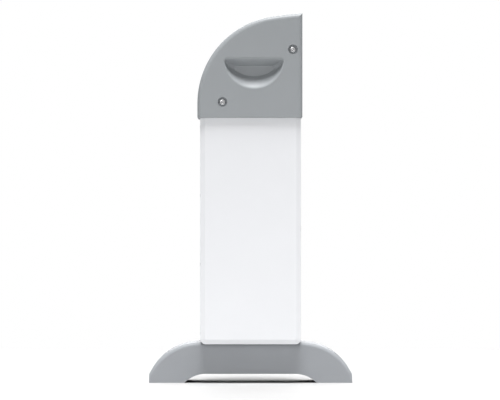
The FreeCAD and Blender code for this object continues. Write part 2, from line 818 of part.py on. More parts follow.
def make_pivots():
    """Four brackets, one at each end of each door's stile, and the pins they hold."""
    brackets = Piece("pivot_brackets")
    pins = Piece("pivot_pins")
    # A plate runs forward to the pin, and a round nose about the pin stays inside the stile's notch.
    column_side = (f"clearance - {DOOR_HALF}", f"{COLUMN_PIVOT[1]} + bracket_nose/2")
    low_plate = rectangle("post_spacing/2 + post_size/2", COLUMN_PIVOT[0], *column_side)
    high_plate = rectangle("bracket_back", COLUMN_PIVOT[0], *column_side)
    inside_jamb = ("bracket_back", "head_front - jamb_depth - clearance")
    wing = rectangle(*inside_jamb, "chassis_sheet - chassis_width/2", "2*chassis_sheet - chassis_width/2")
    brackets.pad("XY", "opening_bottom", "opening_bottom + bracket_wing", wing)
    brackets.pad("XY", "opening_top - bracket_wing", "opening_top", wing)
    head_side = f"{HEAD_PIVOT[1]} + bracket_nose/2"
    head_plates = [
        rectangle(*inside_jamb, "chassis_sheet - chassis_width/2", head_side),
        rectangle("bracket_back + bracket_step", HEAD_PIVOT[0], f"clearance - {FASCIA_HALF}", head_side),
    ]
    spans = [
        (PLATE_TOP, f"{PLATE_TOP} + bracket_thickness", 1, [low_plate], COLUMN_PIVOT),
        (TOP_PLATE_TOP, f"{TOP_PLATE_TOP} + bracket_thickness", -1, [high_plate], COLUMN_PIVOT),
        ("opening_bottom", "opening_bottom + bracket_thickness", 1, head_plates, HEAD_PIVOT),
        ("opening_top - bracket_thickness", "opening_top", -1, head_plates, HEAD_PIVOT),
    ]
    for low, high, way, plates, axis in spans:
        for plate in [*plates, circle(*axis, "bracket_nose")]:
            brackets.pad("XY", low, high, plate)
        reach = "(reveal + pivot_engagement)"
        ends = (low, f"{high} + {reach}") if way > 0 else (f"{low} - {reach}", high)
        pins.pad("XY", *ends, circle(*axis, "pivot_pin"))
    for low, high, way, plates, axis in spans:
        brackets.cut("XY", f"{low} - 1", f"{high} + 1", circle(*axis, "pivot_pin"))
    return [brackets.body, pins.body]


def make_lock(prefix, front, offset, height):
    """A cam lock: fixed housing, turning core with its key slot, and the cam, which hangs when unlocked."""
    back = f"({front} - lock_length)"
    housing = Piece(prefix + "_lock_housing")
    bore = circle(offset, height, "lock_core + lock_running")
    housing.pad("YZ", back, front, circle(offset, height, "lock_size"), bore)
    housing.pad("YZ", front, f"{front} + lock_flange_depth", circle(offset, height, "lock_flange"), bore)
    core = Piece(prefix + "_lock_core")
    core_front = f"{front} + lock_flange_depth - clearance"
    cam_front = f"{back} - cam_washer"
    cam_back = f"{cam_front} - cam_thickness"
    core.pad("YZ", cam_back, core_front, circle(offset, height, "lock_core"))
    core.cut(
        "YZ", f"{core_front} - lock_keyway_depth", f"{core_front} + 1",
        centred(offset, height, "lock_keyway", "lock_keyway_height"),
    )
    cam = Piece(prefix + "_lock_cam")
    cam.pad(
        "YZ", cam_back, cam_front,
        rectangle(f"{offset} - cam_width/2", f"{offset} + cam_width/2", f"{height} - cam_reach", height),
    )
    cam.pad("YZ", cam_back, cam_front, circle(offset, height, "lock_size"))
    cam.cut("YZ", f"{cam_back} - 1", f"{back} + 1", circle(offset, height, "lock_core"))
    return [housing.body, core.body, cam.body]


def make_strikes():
    """The plates that the two cams turn behind."""
    strikes = Piece("lock_strikes")
    post_face, chassis_face = "post_gauge/2 - post_size/2", "chassis_width/2 - chassis_sheet"
    for front, offset, height, wall in (
        (COLUMN_FRONT, "column_lock_offset", "column_lock_height", post_face),
        ("fascia_front", "head_lock_offset", "head_lock_height", chassis_face),
    ):
        at = f"{front} - lock_length - cam_washer + cam_gap"
        z = (f"{height} - strike_height/2", f"{height} + strike_height/2")
        plate = rectangle(f"{offset} + strike_start", wall, *z)
        strikes.pad("YZ", at, f"{at} + strike_thickness", plate)
    return strikes.body


def make_vault():
    """The coin safe, a slotted box with a lifting handle, and the shelf it stands on."""
    vault = Piece("coin_vault")
    bottom = f"({PLATE_TOP} + vault_stand)"
    top = f"({bottom} + vault_height)"
    vault.pad("XY", bottom, top, centred("0", "0", "vault_depth", "vault_width"))
    inside = centred("0", "0", "vault_depth - 2*vault_wall", "vault_width - 2*vault_wall")
    vault.cut("XY", f"{bottom} + vault_wall", f"{top} - vault_wall", inside)
    slot = centred("0", "0", "vault_slot_width", "vault_slot")
    vault.cut("XY", f"{top} - vault_wall - 1", f"{top} + 1", slot)
    handle = Piece("vault_handle")
    middle = f"{bottom} + vault_height/2"
    bar = "vault_depth/2 + vault_handle_reach"
    for across in ("-vault_handle_span/2", "vault_handle_span/2"):
        handle.pad("YZ", "vault_depth/2", bar, circle(across, middle, "vault_handle_size"))
    grip = circle(bar, middle, "vault_handle_size")
    handle.pad("XZ", "-vault_handle_length/2", "vault_handle_length/2", grip)
    shelf = Piece("vault_shelf")
    deep = "vault_depth + 2*shelf_margin"
    shelf_bottom = f"{bottom} - shelf_sheet"
    shelf.pad("XY", shelf_bottom, bottom, centred("0", "0", deep, "post_gauge - post_size"))
    for side in ("-", ""):
        wall = f"{side}(post_gauge/2 - post_size/2 - shelf_sheet/2)"
        shelf.pad("XY", PLATE_TOP, shelf_bottom, centred("0", wall, deep, "shelf_sheet"))
    return [vault.body, handle.body, shelf.body]


def make_supply():
    """The power supply on a back plate that spans the two rear posts."""
    back = "(post_size/2 - post_spacing/2)"
    z = ("supply_bottom", "supply_bottom + supply_height")
    y = ("-supply_width/2", "supply_width/2")
    supply = box_piece("power_supply", (back, f"{back} + supply_depth"), y, z)
    across = ("-post_gauge/2 - post_size/2", "post_gauge/2 + post_size/2")
    supply.pad("XY", *z, rectangle(back, f"{back} + holder_sheet", *across))
    return supply.body


# ---------------------------------------------------------------- head shells


def head_outline(inset, bottom, front=None):
    """The head's side profile drawn in by inset: upright back, hood arc, flatter crown arc, upright front."""
    back = -size("head_back") + inset
    front = size("head_front") - inset if front is None else front
    hood, crown = size("hood_radius"), size("crown_radius")
    blend = math.radians(size("crown_angle"))
    hood_x = -size("head_back") + hood
    crown_x = hood_x + (crown - hood) * math.sin(blend)
    rise = math.sqrt(crown**2 - (size("head_front") - crown_x) ** 2)
    crown_z = size("total_height") - rise
    hood_z = crown_z + (crown - hood) * math.cos(blend)

    def on_hood(turn):
        """A point of the hood arc, turned from straight back towards straight up."""
        reach = hood - inset
        return FreeCAD.Vector(hood_x - reach * math.cos(turn), 0, hood_z + reach * math.sin(turn))

    def on_crown(x):
        return FreeCAD.Vector(x, 0, crown_z + math.sqrt((crown - inset) ** 2 - (x - crown_x) ** 2))

    quarter = math.pi / 2 - blend
    join = on_hood(quarter)
    tip = on_crown(front)
    low_back, low_front = FreeCAD.Vector(back, 0, bottom), FreeCAD.Vector(front, 0, bottom)
    edges = [
        Part.makeLine(low_back, on_hood(0)),
        Part.Arc(on_hood(0), on_hood(quarter / 2), join).toShape(),
        Part.Arc(join, on_crown((join.x + front) / 2), tip).toShape(),
        Part.makeLine(tip, low_front),
        Part.makeLine(low_front, low_back),
    ]
    return Part.Face(Part.Wire(edges))


def slab(face, low, high):
    """A face in the XZ plane made solid between two places along Y."""
    solid = face.extrude(FreeCAD.Vector(0, high - low, 0))
    solid.translate(FreeCAD.Vector(0, low, 0))
    return solid


def box(x, y, z):
    """A plain box between (low, high) pairs."""
    lengths = [b - a for a, b in (x, y, z)]
    return Part.makeBox(*lengths, FreeCAD.Vector(x[0], y[0], z[0]))


# How many sections shape the grip's lip and its taper.
LIP_STEPS = 4
GRIP_STEPS = 5
# Farther out than any surface of the station.
FAR = 3000.0


def half_moon(radius, centre_z, top, corner, y):
    """A half-moon wire at a place along Y: flat top, two small corner arcs and a round belly."""
    centre_x = size("grip_offset")
    # Each corner's circle touches the flat top and, from inside, the belly.
    corner_z = top - corner
    corner_x = math.sqrt((radius - corner) ** 2 - (centre_z - corner_z) ** 2)
    away = math.atan2(centre_z - corner_z, corner_x)
    halfway = math.pi / 4 - away / 2

    def point(x, z, side):
        return FreeCAD.Vector(centre_x + side * x, y, z)

    def corner_point(turn, side):
        return point(corner_x + corner * math.cos(turn), corner_z + corner * math.sin(turn), side)

    belly = point(0, centre_z - radius, 1)
    edges = [
        Part.makeLine(point(corner_x, top, -1), point(corner_x, top, 1)),
        Part.Arc(point(corner_x, top, 1), corner_point(halfway, 1), corner_point(-away, 1)).toShape(),
        Part.Arc(corner_point(-away, 1), belly, corner_point(-away, -1)).toShape(),
        Part.Arc(corner_point(-away, -1), corner_point(halfway, -1), point(corner_x, top, -1)).toShape(),
    ]
    return Part.Wire(edges)


def grip_section(depth, grow):
    """The left grip's outline at a depth from the cheek's face, grown outwards all round."""
    share = depth / size("grip_depth")
    mouth, half, sagitta = size("grip_radius"), size("grip_back_half"), size("grip_back_sagitta")
    back = (half**2 + sagitta**2) / (2 * sagitta)
    back_centre = size("grip_back_top") - sagitta + back

    def between(start, end):
        return start + (end - start) * share

    return half_moon(
        between(mouth, back) + grow,
        between(size("grip_top"), back_centre),
        between(size("grip_top"), size("grip_back_top")) + grow,
        size("grip_corner") + grow,
        depth - size("head_width") / 2,
    )


def grip_depths(start, end):
    """Evenly spaced depths for the sections of the grip's taper."""
    return [start + (end - start) * i / GRIP_STEPS for i in range(GRIP_STEPS + 1)]


def grip_hollow():
    """The grip's hollow: a quarter-round lip at the mouth, then a taper to the back wall."""
    lip = size("grip_lip_radius")
    sections = []
    for step in range(LIP_STEPS + 1):
        turn = math.pi / 2 * step / LIP_STEPS
        sections.append(grip_section(lip * (1 - math.cos(turn)), lip * (1 - math.sin(turn))))
    sections += [grip_section(depth, 0) for depth in grip_depths(lip, size("grip_depth"))[1:]]
    return Part.makeLoft(sections, True, True)


def grip_cup():
    """The solid that the hollow is cut from: the same taper one wall bigger."""
    wall = size("head_wall")
    depths = grip_depths(wall / 2, size("grip_depth") + wall)
    return Part.makeLoft([grip_section(depth, wall) for depth in depths], True, True)


def screw_spots():
    return [
        (size("screw_upper_offset"), size("screw_upper_height")),
        (size("screw_lower_offset"), size("screw_lower_height")),
    ]


def column_clearance():
    """The column's outline where it rises into the head."""
    reach_x = size("column_depth") / 2 + size("column_gap")
    reach_y = size("column_width") / 2 + size("column_gap")
    low = size("head_bottom") - 1
    return box((-reach_x, reach_x), (-reach_y, reach_y), (low, size("head_bottom") + size("head_wall") + 1))


def door_opening():
    """The hole in the head's front, as deep as the sleeve that lines it."""
    half = size("opening_width") / 2
    front = size("head_front")
    z = (size("opening_bottom"), size("opening_top"))
    return box((front - size("jamb_depth") - 1, front + 1), (-half, half), z)


def jamb():
    """The sleeve that lines the head's door opening."""
    wall = size("jamb_wall")
    half = size("opening_width") / 2 + wall
    front = size("head_front") - size("head_wall")
    sleeve = box(
        (size("head_front") - size("jamb_depth"), front),
        (-half, half),
        (size("opening_bottom") - wall, size("opening_top") + wall),
    )
    return sleeve.cut(door_opening())


def eased_bottom(solid, face):
    """The lower edge of a cheek's face, rounded a little."""
    bottom = size("head_bottom")
    edges = [
        e for e in solid.Edges
        if near(e.BoundBox.ZMax, bottom) and near(e.BoundBox.YMin, face) and near(e.BoundBox.YMax, face)
    ]
    return solid.makeFillet(size("head_bottom_radius"), edges)


def make_cheek_left():
    """The moulded side of the head: a filleted tray with a grip hollow and two sunken screw seats."""
    face = -size("head_width") / 2
    inner = face + size("cheek_depth")
    wall = size("head_wall")
    bottom = size("head_bottom")
    radius = size("head_edge_radius")

    def rounded(solid, at, r):
        edges = [
            e for e in solid.Edges
            if near(e.BoundBox.YMin, at) and near(e.BoundBox.YMax, at) and e.BoundBox.ZLength > 0.01
        ]
        return solid.makeFillet(r, edges)

    outer = rounded(slab(head_outline(0, bottom), face, inner), face, radius)
    outer = eased_bottom(outer, face)
    hollow = slab(head_outline(wall, bottom + wall), face + wall, inner + 1)
    hollow = rounded(hollow, face + wall, radius - wall)
    zone = box((-FAR, FAR), (face - 1, inner), (0, FAR))
    shell = outer.cut(hollow)
    shell = shell.fuse(jamb().common(zone))
    along = FreeCAD.Vector(0, 1, 0)
    seat_depth = size("screw_recess_depth")
    for x, z in screw_spots():
        boss = Part.makeCylinder(size("screw_boss") / 2, seat_depth, FreeCAD.Vector(x, face + wall, z), along)
        shell = shell.fuse(boss)
    shell = shell.fuse(grip_cup()).cut(grip_hollow()).cut(door_opening()).cut(column_clearance())
    for x, z in screw_spots():
        start = FreeCAD.Vector(x, face - 1, z)
        shell = shell.cut(Part.makeCylinder(size("screw_recess") / 2, seat_depth + 1, start, along))
        bore = size("screw_size") / 2 + size("clearance")
        shell = shell.cut(Part.makeCylinder(bore, size("grip_depth"), start, along))
    return shell.removeSplitter()


def make_head_shells():
    """Both cheeks, the curved hood between them, and the sill under the door."""
    left = make_cheek_left()
    right = left.mirror(FreeCAD.Vector(0, 0, 0), FreeCAD.Vector(0, 1, 0))
    half = size("head_width") / 2 - size("cheek_depth") - size("seam")
    wall = size("head_wall")
    bottom = size("head_bottom")
    ring = slab(head_outline(0, bottom), -half, half)
    ring = ring.cut(slab(head_outline(wall, bottom + wall), -half - 1, half + 1))
    zone = box((-FAR, FAR), (-half, half), (0, FAR))
    # Laps reach under the cheeks' edges, and legs stand the sill on the chassis.
    gap, lap = size("clearance"), size("hood_lap")
    laps = slab(head_outline(wall + gap, bottom + wall + gap), -half - lap, half + lap)
    under = wall + gap + size("lap_sheet")
    laps = laps.cut(slab(head_outline(under, bottom), -half - lap - 1, half + lap + 1))
    roots = slab(head_outline(wall, bottom + wall + gap), -half, half)
    roots = roots.cut(slab(head_outline(under, bottom), -half - 1, half + 1))
    middle = box((-FAR, FAR), (lap - half, half - lap), (0, FAR))
    back_of_sill = size("head_front") - size("jamb_depth")
    behind_jamb = box((-FAR, back_of_sill), (-half - lap, half + lap), (bottom + wall + gap, FAR))
    lapped = laps.fuse(roots).cut(middle).common(behind_jamb)
    floor = bottom - size("chassis_drop") + size("chassis_sheet")
    leg_x = (size("chassis_floor_front") - lap, back_of_sill + 1)
    leg_z = (floor, size("opening_bottom"))
    legs = [box(leg_x, (middle_y - lap, middle_y + lap), leg_z) for middle_y in (-half / 2, half / 2)]
    ring = ring.fuse([jamb().common(zone), *legs]).cut(door_opening()).cut(column_clearance()).fuse(lapped)
    solids = sorted(ring.Solids, key=lambda s: s.Volume)
    return [
        whole("cheek_left", left),
        whole("cheek_right", right),
        whole("hood_skin", solids[-1].removeSplitter()),
        whole("head_sill", solids[0].removeSplitter()),
    ]


def make_chassis():
    """A bent steel U with windows for the grips and a threaded weld boss for each cheek screw."""
    half, sheet_t = size("chassis_width") / 2, size("chassis_sheet")
    floor_z = size("head_bottom") - size("chassis_drop")
    front = size("chassis_front")
    side_face = head_outline(size("chassis_inset"), floor_z, front)
    floor_x = (-size("chassis_back"), size("chassis_floor_front"))
    keep = box((-size("chassis_back"), front), (-half, half), (floor_z, FAR))
    sides = slab(side_face, -half, half).cut(box((-FAR, FAR), (sheet_t - half, half - sheet_t), (0, FAR)))
    floor = box(floor_x, (-half, half), (floor_z, floor_z + sheet_t))
    shape = sides.common(keep).fuse(floor)
    # The bottom fits between the column's sides. A wider chassis steps out above the cheeks' floors.
    neck = size("column_width") / 2 - size("cover_wall")
    ledge = size("head_bottom") + size("head_wall") + size("clearance")
    if half > neck + sheet_t:
        for low, high in ((-half - 1, -neck), (neck, half + 1)):
            shape = shape.cut(box((-FAR, FAR), (low, high), (floor_z - 1, ledge)))
        for low, high in ((-half, sheet_t - neck), (neck - sheet_t, half)):
            shape = shape.fuse(box(floor_x, (low, high), (ledge, ledge + sheet_t)))
        for low in (-neck, neck - sheet_t):
            shape = shape.fuse(box(floor_x, (low, low + sheet_t), (floor_z, ledge + sheet_t)))
    # The front corners step back over the column door's upper pivot.
    step = (size("chassis_floor_front"), front + 1)
    step_top = size("opening_bottom") + size("bracket_thickness") + size("notch_margin")
    shape = shape.cut(box(step, (-half - 1, half + 1), (floor_z - 1, step_top)))
    reach_x = size("grip_radius") + size("head_wall") + size("grip_margin")
    centre = size("grip_offset")
    low = size("grip_back_top") - size("grip_back_sagitta") - 3 * size("grip_margin")
    high = size("grip_top") + size("grip_margin")
    shape = shape.cut(box((centre - reach_x, centre + reach_x), (-half - 1, half + 1), (low, high)))
    cable = size("top_plate_opening") / 2
    shape = shape.cut(box((-cable, cable), (-cable, cable), (floor_z - 1, floor_z + sheet_t + 1)))
    reach = size("head_width") / 2 - size("head_wall") - size("screw_recess_depth")
    for x, z in screw_spots():
        along = FreeCAD.Vector(0, 1, 0)
        for start in (-reach, half):
            foot = FreeCAD.Vector(x, start, z)
            shape = shape.fuse(Part.makeCylinder(size("standoff_size") / 2, reach - half, foot, along))
        thread = size("screw_size") / 2 + size("thread_clearance")
        shape = shape.cut(Part.makeCylinder(thread, 2 * reach + 2, FreeCAD.Vector(x, -reach - 1, z), along))
    return whole("head_chassis", shape.removeSplitter())


def make_cheek_screws():
    """The four button-head screws, each seated at the bottom of its recess."""
    screws = Piece("cheek_screws")
    seat = f"({HEAD_SIDE} - screw_recess_depth)"
    spots = [("screw_upper_offset", "screw_upper_height"), ("screw_lower_offset", "screw_lower_height")]
    for side in (1, -1):

        def span(a, b):
            return (a, b) if side > 0 else (f"-({b})", f"-({a})")

        heads = [circle(*s, "screw_head") for s in spots]
        screws.pad("XZ", *span(seat, f"{seat} + screw_head_height"), *heads)
        shank = span("chassis_width/2 - chassis_sheet - 2", seat)
        screws.pad("XZ", *shank, *[circle(*s, "screw_size") for s in spots])
    face = size("head_width") / 2 - size("screw_recess_depth") + size("screw_head_height")
    screws.dress(
        "Fillet",
        lambda b: b.YLength < 0.01 and near(abs(b.YMin), face) and near(b.XLength, size("screw_head")),
        Radius="screw_head_height*0.6",
    )
    for side in (1, -1):
        inner = f"({seat} + screw_head_height - screw_socket_depth)"
        outer = f"({seat} + screw_head_height + 1)"
        ends = (inner, outer) if side > 0 else (f"-{outer}", f"-{inner}")
        rings = [circle(*s, "screw_socket") for s in spots] + [circle(*s, "screw_socket*0.35") for s in spots]
        screws.cut("XZ", *ends, *rings)
    return screws.body


# ---------------------------------------------------------------- fascia and what it carries

KEYS = ["1", "2", "3", "4", "5", "6", "7", "8", "9", "cancel", "0", "enter"]


def key_spot(index):
    column, row = index % 3, index // 3
    return (f"keypad_centre + ({column - 1})*key_pitch_across", f"keypad_top_row - {row}*key_pitch_down")


KEYPAD_HALF = "(key_pitch_across + key_width/2 + keypad_border)"
KEYPAD_TOP = "(keypad_top_row + key_height/2 + keypad_border)"
KEYPAD_BOTTOM = "(keypad_top_row - 3*key_pitch_down - key_height/2 - keypad_border)"


def keypad_rectangle(grow):
    return rectangle(
        f"keypad_centre - {KEYPAD_HALF} - ({grow})", f"keypad_centre + {KEYPAD_HALF} + ({grow})",
        f"{KEYPAD_BOTTOM} - ({grow})", f"{KEYPAD_TOP} + ({grow})",
    )


def speaker_holes():
    """Two rings of small holes round a middle one."""
    holes = [circle("speaker_offset", "help_height", "speaker_middle")]
    for ring, count in ((1, 6), (2, 12)):
        for i in range(count):
            angle = 2 * math.pi * i / count
            across, up = round(ring * math.cos(angle), 4), round(ring * math.sin(angle), 4)
            spot = (f"speaker_offset + ({across})*speaker_ring", f"help_height + ({up})*speaker_ring")
            holes.append(circle(*spot, "speaker_hole"))
    return holes


def make_fascia():
    """The head's door, with an opening for every unit it carries."""
    round_neck = "2*clearance"
    card_neck = [f"card_bezel_{way} - 2*card_neck + {round_neck}" for way in ("width", "height")]
    coin_neck = [f"coin_bezel_{way} - 2*coin_neck + {round_neck}" for way in ("width", "height")]
    cup_z = ("cup_bottom - clearance", "cup_top + clearance")
    openings = [
        rectangle("display_left", "display_right", "display_bottom", "display_top"),
        rectangle(
            "reader_left - clearance", "reader_right + clearance",
            "reader_bottom - clearance", "reader_top + clearance",
        ),
        centred("0", "card_centre_height", *card_neck),
        keypad_rectangle("clearance"),
        centred("coin_centre", "coin_height", *coin_neck),
        circle("help_offset", "help_height", "help_size + 2*clearance"),
        circle("reject_offset", "reject_height", "reject_size + 2*clearance"),
        rectangle("receipt_left - clearance", "receipt_right + clearance", *cup_z),
        rectangle("coin_cup_left - clearance", "coin_cup_right + clearance", *cup_z),
        circle("head_lock_offset", "head_lock_height", "lock_size + 2*clearance"),
        *speaker_holes(),
    ]
    ends = (FASCIA_BOTTOM, FASCIA_TOP)
    return door_shell("fascia", "fascia_front", FASCIA_HALF, *ends, *HEAD_NOTCHES, openings)


def make_display():
    """Window against the back of the fascia, then the screen module."""
    pane = rectangle(
        "display_left - display_lip", "display_right + display_lip",
        "display_bottom - display_lip", "display_top + display_lip",
    )
    window_back = f"{FASCIA_BACK} - window_thickness"
    window = Piece("display_window").pad("YZ", window_back, FASCIA_BACK, pane)
    module = Piece("display_module").pad("YZ", f"{window_back} - module_depth", window_back, pane)
    return [window.body, module.body]


def make_reader():
    """Contactless reader: a rounded block standing a little proud of the fascia."""
    reader = Piece("contactless_reader")
    reader.pad(
        "YZ", "fascia_front - reader_depth", "fascia_front + reader_proud",
        rectangle("reader_left", "reader_right", "reader_bottom", "reader_top"),
    )
    front = size("fascia_front") + size("reader_proud")
    reader.dress("Fillet", lambda b: b.YLength < 0.01 and b.ZLength < 0.01, Radius="reader_proud*1.5")
    reader.dress("Fillet", lambda b: near(b.XMin, front) and near(b.XMax, front), Radius="reader_proud*0.4")
    return reader.body


def make_card_slot():
    """Flared bezel in front of the fascia, its neck through it, and the reader behind."""
    bezel = Piece("card_slot_bezel")
    proud = "fascia_front + card_bezel_proud"
    middle = ("0", "card_centre_height")
    bezel.pad("YZ", "fascia_front", proud, centred(*middle, "card_bezel_width", "card_bezel_height"))
    bezel.dress("Fillet", lambda b: b.YLength < 0.01 and b.ZLength < 0.01, Radius="card_bezel_corner")
    front = size("fascia_front") + size("card_bezel_proud")
    bezel.dress("Chamfer", lambda b: near(b.XMin, front) and near(b.XMax, front), Size="card_bezel_chamfer")
    bezel.pad(
        "YZ", FASCIA_BACK, "fascia_front",
        centred(*middle, "card_bezel_width - 2*card_neck", "card_bezel_height - 2*card_neck"),
    )
    mouth = centred(*middle, "card_mouth_width", "card_mouth_height")
    bezel.cut("YZ", f"{FASCIA_BACK} - 1", f"{proud} + 1", mouth)
    reader = Piece("card_reader")
    reader.pad(
        "YZ", f"{FASCIA_BACK} - card_reader_depth", FASCIA_BACK,
        centred(*middle, "card_bezel_width - 2*card_neck", "card_bezel_height - 2*card_neck"),
    )
    reader.cut(
        "YZ", f"{FASCIA_BACK} - card_reader_depth + card_reader_wall", f"{FASCIA_BACK} + 1",
        centred(*middle, "card_slot_width", "card_slot_height"),
    )
    return [bezel.body, reader.body]


def make_keypad():
    """Plate with twelve key holes, side walls behind it, a board, and the keys themselves."""
    front = "fascia_front + keypad_proud"
    plate_back = f"({front} - keypad_plate)"
    housing_back = f"({plate_back} - keypad_depth)"
    housing = Piece("keypad_housing")
    housing.pad("YZ", housing_back, front, keypad_rectangle("0"))
    housing.cut("YZ", f"{housing_back} - 1", plate_back, keypad_rectangle("-keypad_wall"))
    spots = [key_spot(i) for i in range(len(KEYS))]
    holes = [centred(*s, "key_width + 2*clearance", "key_height + 2*clearance") for s in spots]
    housing.cut("YZ", f"{plate_back} - 1", f"{front} + 1", *holes)
    board_front = f"{plate_back} - key_flange_depth - key_travel - board_gap"
    board = Piece("keypad_board")
    board_outline = keypad_rectangle("-keypad_wall - clearance")
    board.pad("YZ", f"{board_front} - keypad_board_depth", board_front, board_outline)
    made = [housing.body, board.body]
    for name, spot in zip(KEYS, spots):
        key = Piece("key_" + name)
        flange = f"{plate_back} - key_rest_gap"
        key.pad("YZ", flange, f"{front} + key_proud", centred(*spot, "key_width", "key_height"))
        tip = size("fascia_front") + size("keypad_proud") + size("key_proud")
        key.dress("Fillet", lambda b: b.YLength < 0.01 and b.ZLength < 0.01, Radius="key_corner")
        key.dress("Fillet", lambda b: near(b.XMin, tip) and near(b.XMax, tip), Radius="key_edge")
        key.pad(
            "YZ", f"{flange} - key_flange_depth", flange,
            centred(*spot, "key_width + 2*key_flange", "key_height + 2*key_flange"),
        )
        made.append(key.body)
    return made


def make_coin_entry():
    bezel = Piece("coin_bezel")
    proud = "fascia_front + coin_bezel_proud"
    middle = ("coin_centre", "coin_height")
    bezel.pad("YZ", "fascia_front", proud, centred(*middle, "coin_bezel_width", "coin_bezel_height"))
    bezel.dress("Fillet", lambda b: b.YLength < 0.01 and b.ZLength < 0.01, Radius="coin_bezel_corner")
    front = size("fascia_front") + size("coin_bezel_proud")
    bezel.dress("Chamfer", lambda b: near(b.XMin, front) and near(b.XMax, front), Size="coin_bezel_chamfer")
    bezel.pad(
        "YZ", FASCIA_BACK, "fascia_front",
        centred(*middle, "coin_bezel_width - 2*coin_neck", "coin_bezel_height - 2*coin_neck"),
    )
    slot = centred(*middle, "coin_slot_width", "coin_slot_length")
    bezel.cut("YZ", f"{FASCIA_BACK} - 1", f"{proud} + 1", slot)
    validator = Piece("coin_validator")
    validator.pad(
        "YZ", f"{FASCIA_BACK} - validator_depth", FASCIA_BACK,
        rectangle(
            "coin_centre - validator_left", "coin_centre + validator_right",
            "coin_height - validator_below", "coin_height + validator_above",
        ),
    )
    validator.cut("YZ", f"{FASCIA_BACK} - validator_depth + validator_wall", f"{FASCIA_BACK} + 1", slot)
    return [bezel.body, validator.body]


def make_button(label, offset, height, diameter):
    """A round push button kept in by a flange behind the fascia."""
    button = Piece(label)
    rest = f"({FASCIA_BACK} - button_rest_gap)"
    button.pad("YZ", rest, "fascia_front + button_proud", circle(offset, height, diameter))
    tip = size("fascia_front") + size("button_proud")
    button.dress("Fillet", lambda b: near(b.XMin, tip) and near(b.XMax, tip), Radius="button_edge")
    button.pad(
        "YZ", f"{rest} - button_flange_depth", rest,
        circle(offset, height, f"{diameter} + 2*button_flange"),
    )
    return button.body


def make_cup(cup_label, flap_label, left, right):
    """An open-fronted cup with a rim on the fascia, and the flap that hangs in its mouth on stub pins."""
    back = "(fascia_front - cup_depth)"
    rim = "fascia_front + cup_rim_proud"
    axis = ("fascia_front - flap_axis_depth", "cup_top - flap_axis_drop")
    inside = (f"{left} + cup_wall", f"{right} - cup_wall", "cup_bottom + cup_wall", "cup_top - cup_wall")
    cup = Piece(cup_label)
    cup.pad("YZ", back, rim, rectangle(left, right, "cup_bottom", "cup_top"))
    cup.pad(
        "YZ", "fascia_front", rim,
        rectangle(f"{left} - cup_rim", f"{right} + cup_rim", "cup_bottom - cup_rim", "cup_top + cup_rim"),
    )
    cup.cut("YZ", f"{back} + cup_wall", f"{rim} + 1", rectangle(*inside))
    cup.cut("XZ", f"{left} - 0.001", f"{right} + 0.001", circle(*axis, "flap_pin + flap_running"))
    flap = Piece(flap_label)
    wide = (f"{left} + cup_wall + flap_gap", f"{right} - cup_wall - flap_gap")
    plate_back = f"{axis[0]} - flap_thickness/2 - flap_set_back"
    flap.pad(
        "YZ", plate_back, f"{plate_back} + flap_thickness",
        rectangle(*wide, "cup_bottom + cup_wall + flap_gap", f"{axis[1]}"),
    )
    flap.pad("XZ", *wide, circle(*axis, "flap_barrel"))
    flap.pad("XZ", f"{left} + flap_end_gap", f"{right} - flap_end_gap", circle(*axis, "flap_pin"))
    lip_bottom = "cup_bottom + cup_wall + flap_gap"
    lip_y = (f"{wide[0]} + flap_lip_inset", f"{wide[1]} - flap_lip_inset")
    flap.pad(
        "YZ", f"{plate_back} + flap_thickness", f"{plate_back} + flap_thickness + flap_lip",
        rectangle(*lip_y, lip_bottom, f"{lip_bottom} + flap_lip_height"),
    )
    return [cup.body, flap.body]


# ---------------------------------------------------------------- machines in the head


def make_printer():
    """Printer block over the receipt cup, the roll behind it, and the forked holder of the roll's spindle."""
    middle = "(receipt_left/2 + receipt_right/2)"
    y = (f"{middle} - printer_width/2", f"{middle} + printer_width/2")
    printer = Piece("printer")
    printer.pad(
        "XY", "printer_bottom", "printer_bottom + printer_height",
        rectangle("printer_front - printer_depth", "printer_front", *y),
    )
    foot = ("printer_front - printer_depth", "printer_front - printer_depth + printer_foot")
    printer.pad("XY", MACHINE_FLOOR, "printer_bottom", rectangle(*foot, *y))
    holder = Piece("roll_holder")
    prong = (
        "roll_offset - holder_half", "roll_offset + holder_half", MACHINE_FLOOR, "roll_height + holder_half"
    )
    for side in ("-", "+"):
        near_side = f"{middle} {side} (roll_width/2 + holder_gap)"
        far_side = f"{middle} {side} (roll_width/2 + holder_gap + holder_sheet)"
        span = (far_side, near_side) if side == "-" else (near_side, far_side)
        holder.pad("XZ", *span, rectangle(*prong))
    axle = ("roll_offset", "roll_height")
    reach = "(roll_width/2 + spindle_tail)"
    holder.pad("XZ", f"{middle} - {reach}", f"{middle} + {reach}", circle(*axle, "spindle_size"))
    roll = Piece("paper_roll")
    roll.pad(
        "XZ", f"{middle} - roll_width/2", f"{middle} + roll_width/2",
        circle(*axle, "roll_size"), circle(*axle, "spindle_size + pivot_running"),
    )
    return [printer.body, holder.body, roll.body]


def make_controller():
    """The controller, a closed box at the back of the head."""
    back = "controller_inset - chassis_back"
    return box_piece(
        "controller_box", (back, f"{back} + controller_depth"),
        ("-controller_width/2", "controller_width/2"),
        (MACHINE_FLOOR, f"{MACHINE_FLOOR} + controller_height"),
    ).body


def check(parts):
    """Every object computed, every shape sound, and every pocket took something away."""
    for made in doc.Objects:
        bad = {"Invalid", "Error"} & set(made.State)
        if bad:
            raise RuntimeError(f"{made.Label} is {bad}")
        if made.TypeId == "PartDesign::Pocket" and made.Shape.Volume > made.BaseFeature.Shape.Volume - 0.1:
            raise RuntimeError(f"{made.Label} cuts nothing")
    for made in parts:
        if made.Shape.isNull() or not made.Shape.isValid() or made.Shape.Volume <= 0:
            raise RuntimeError(f"{made.Label} has no sound shape")


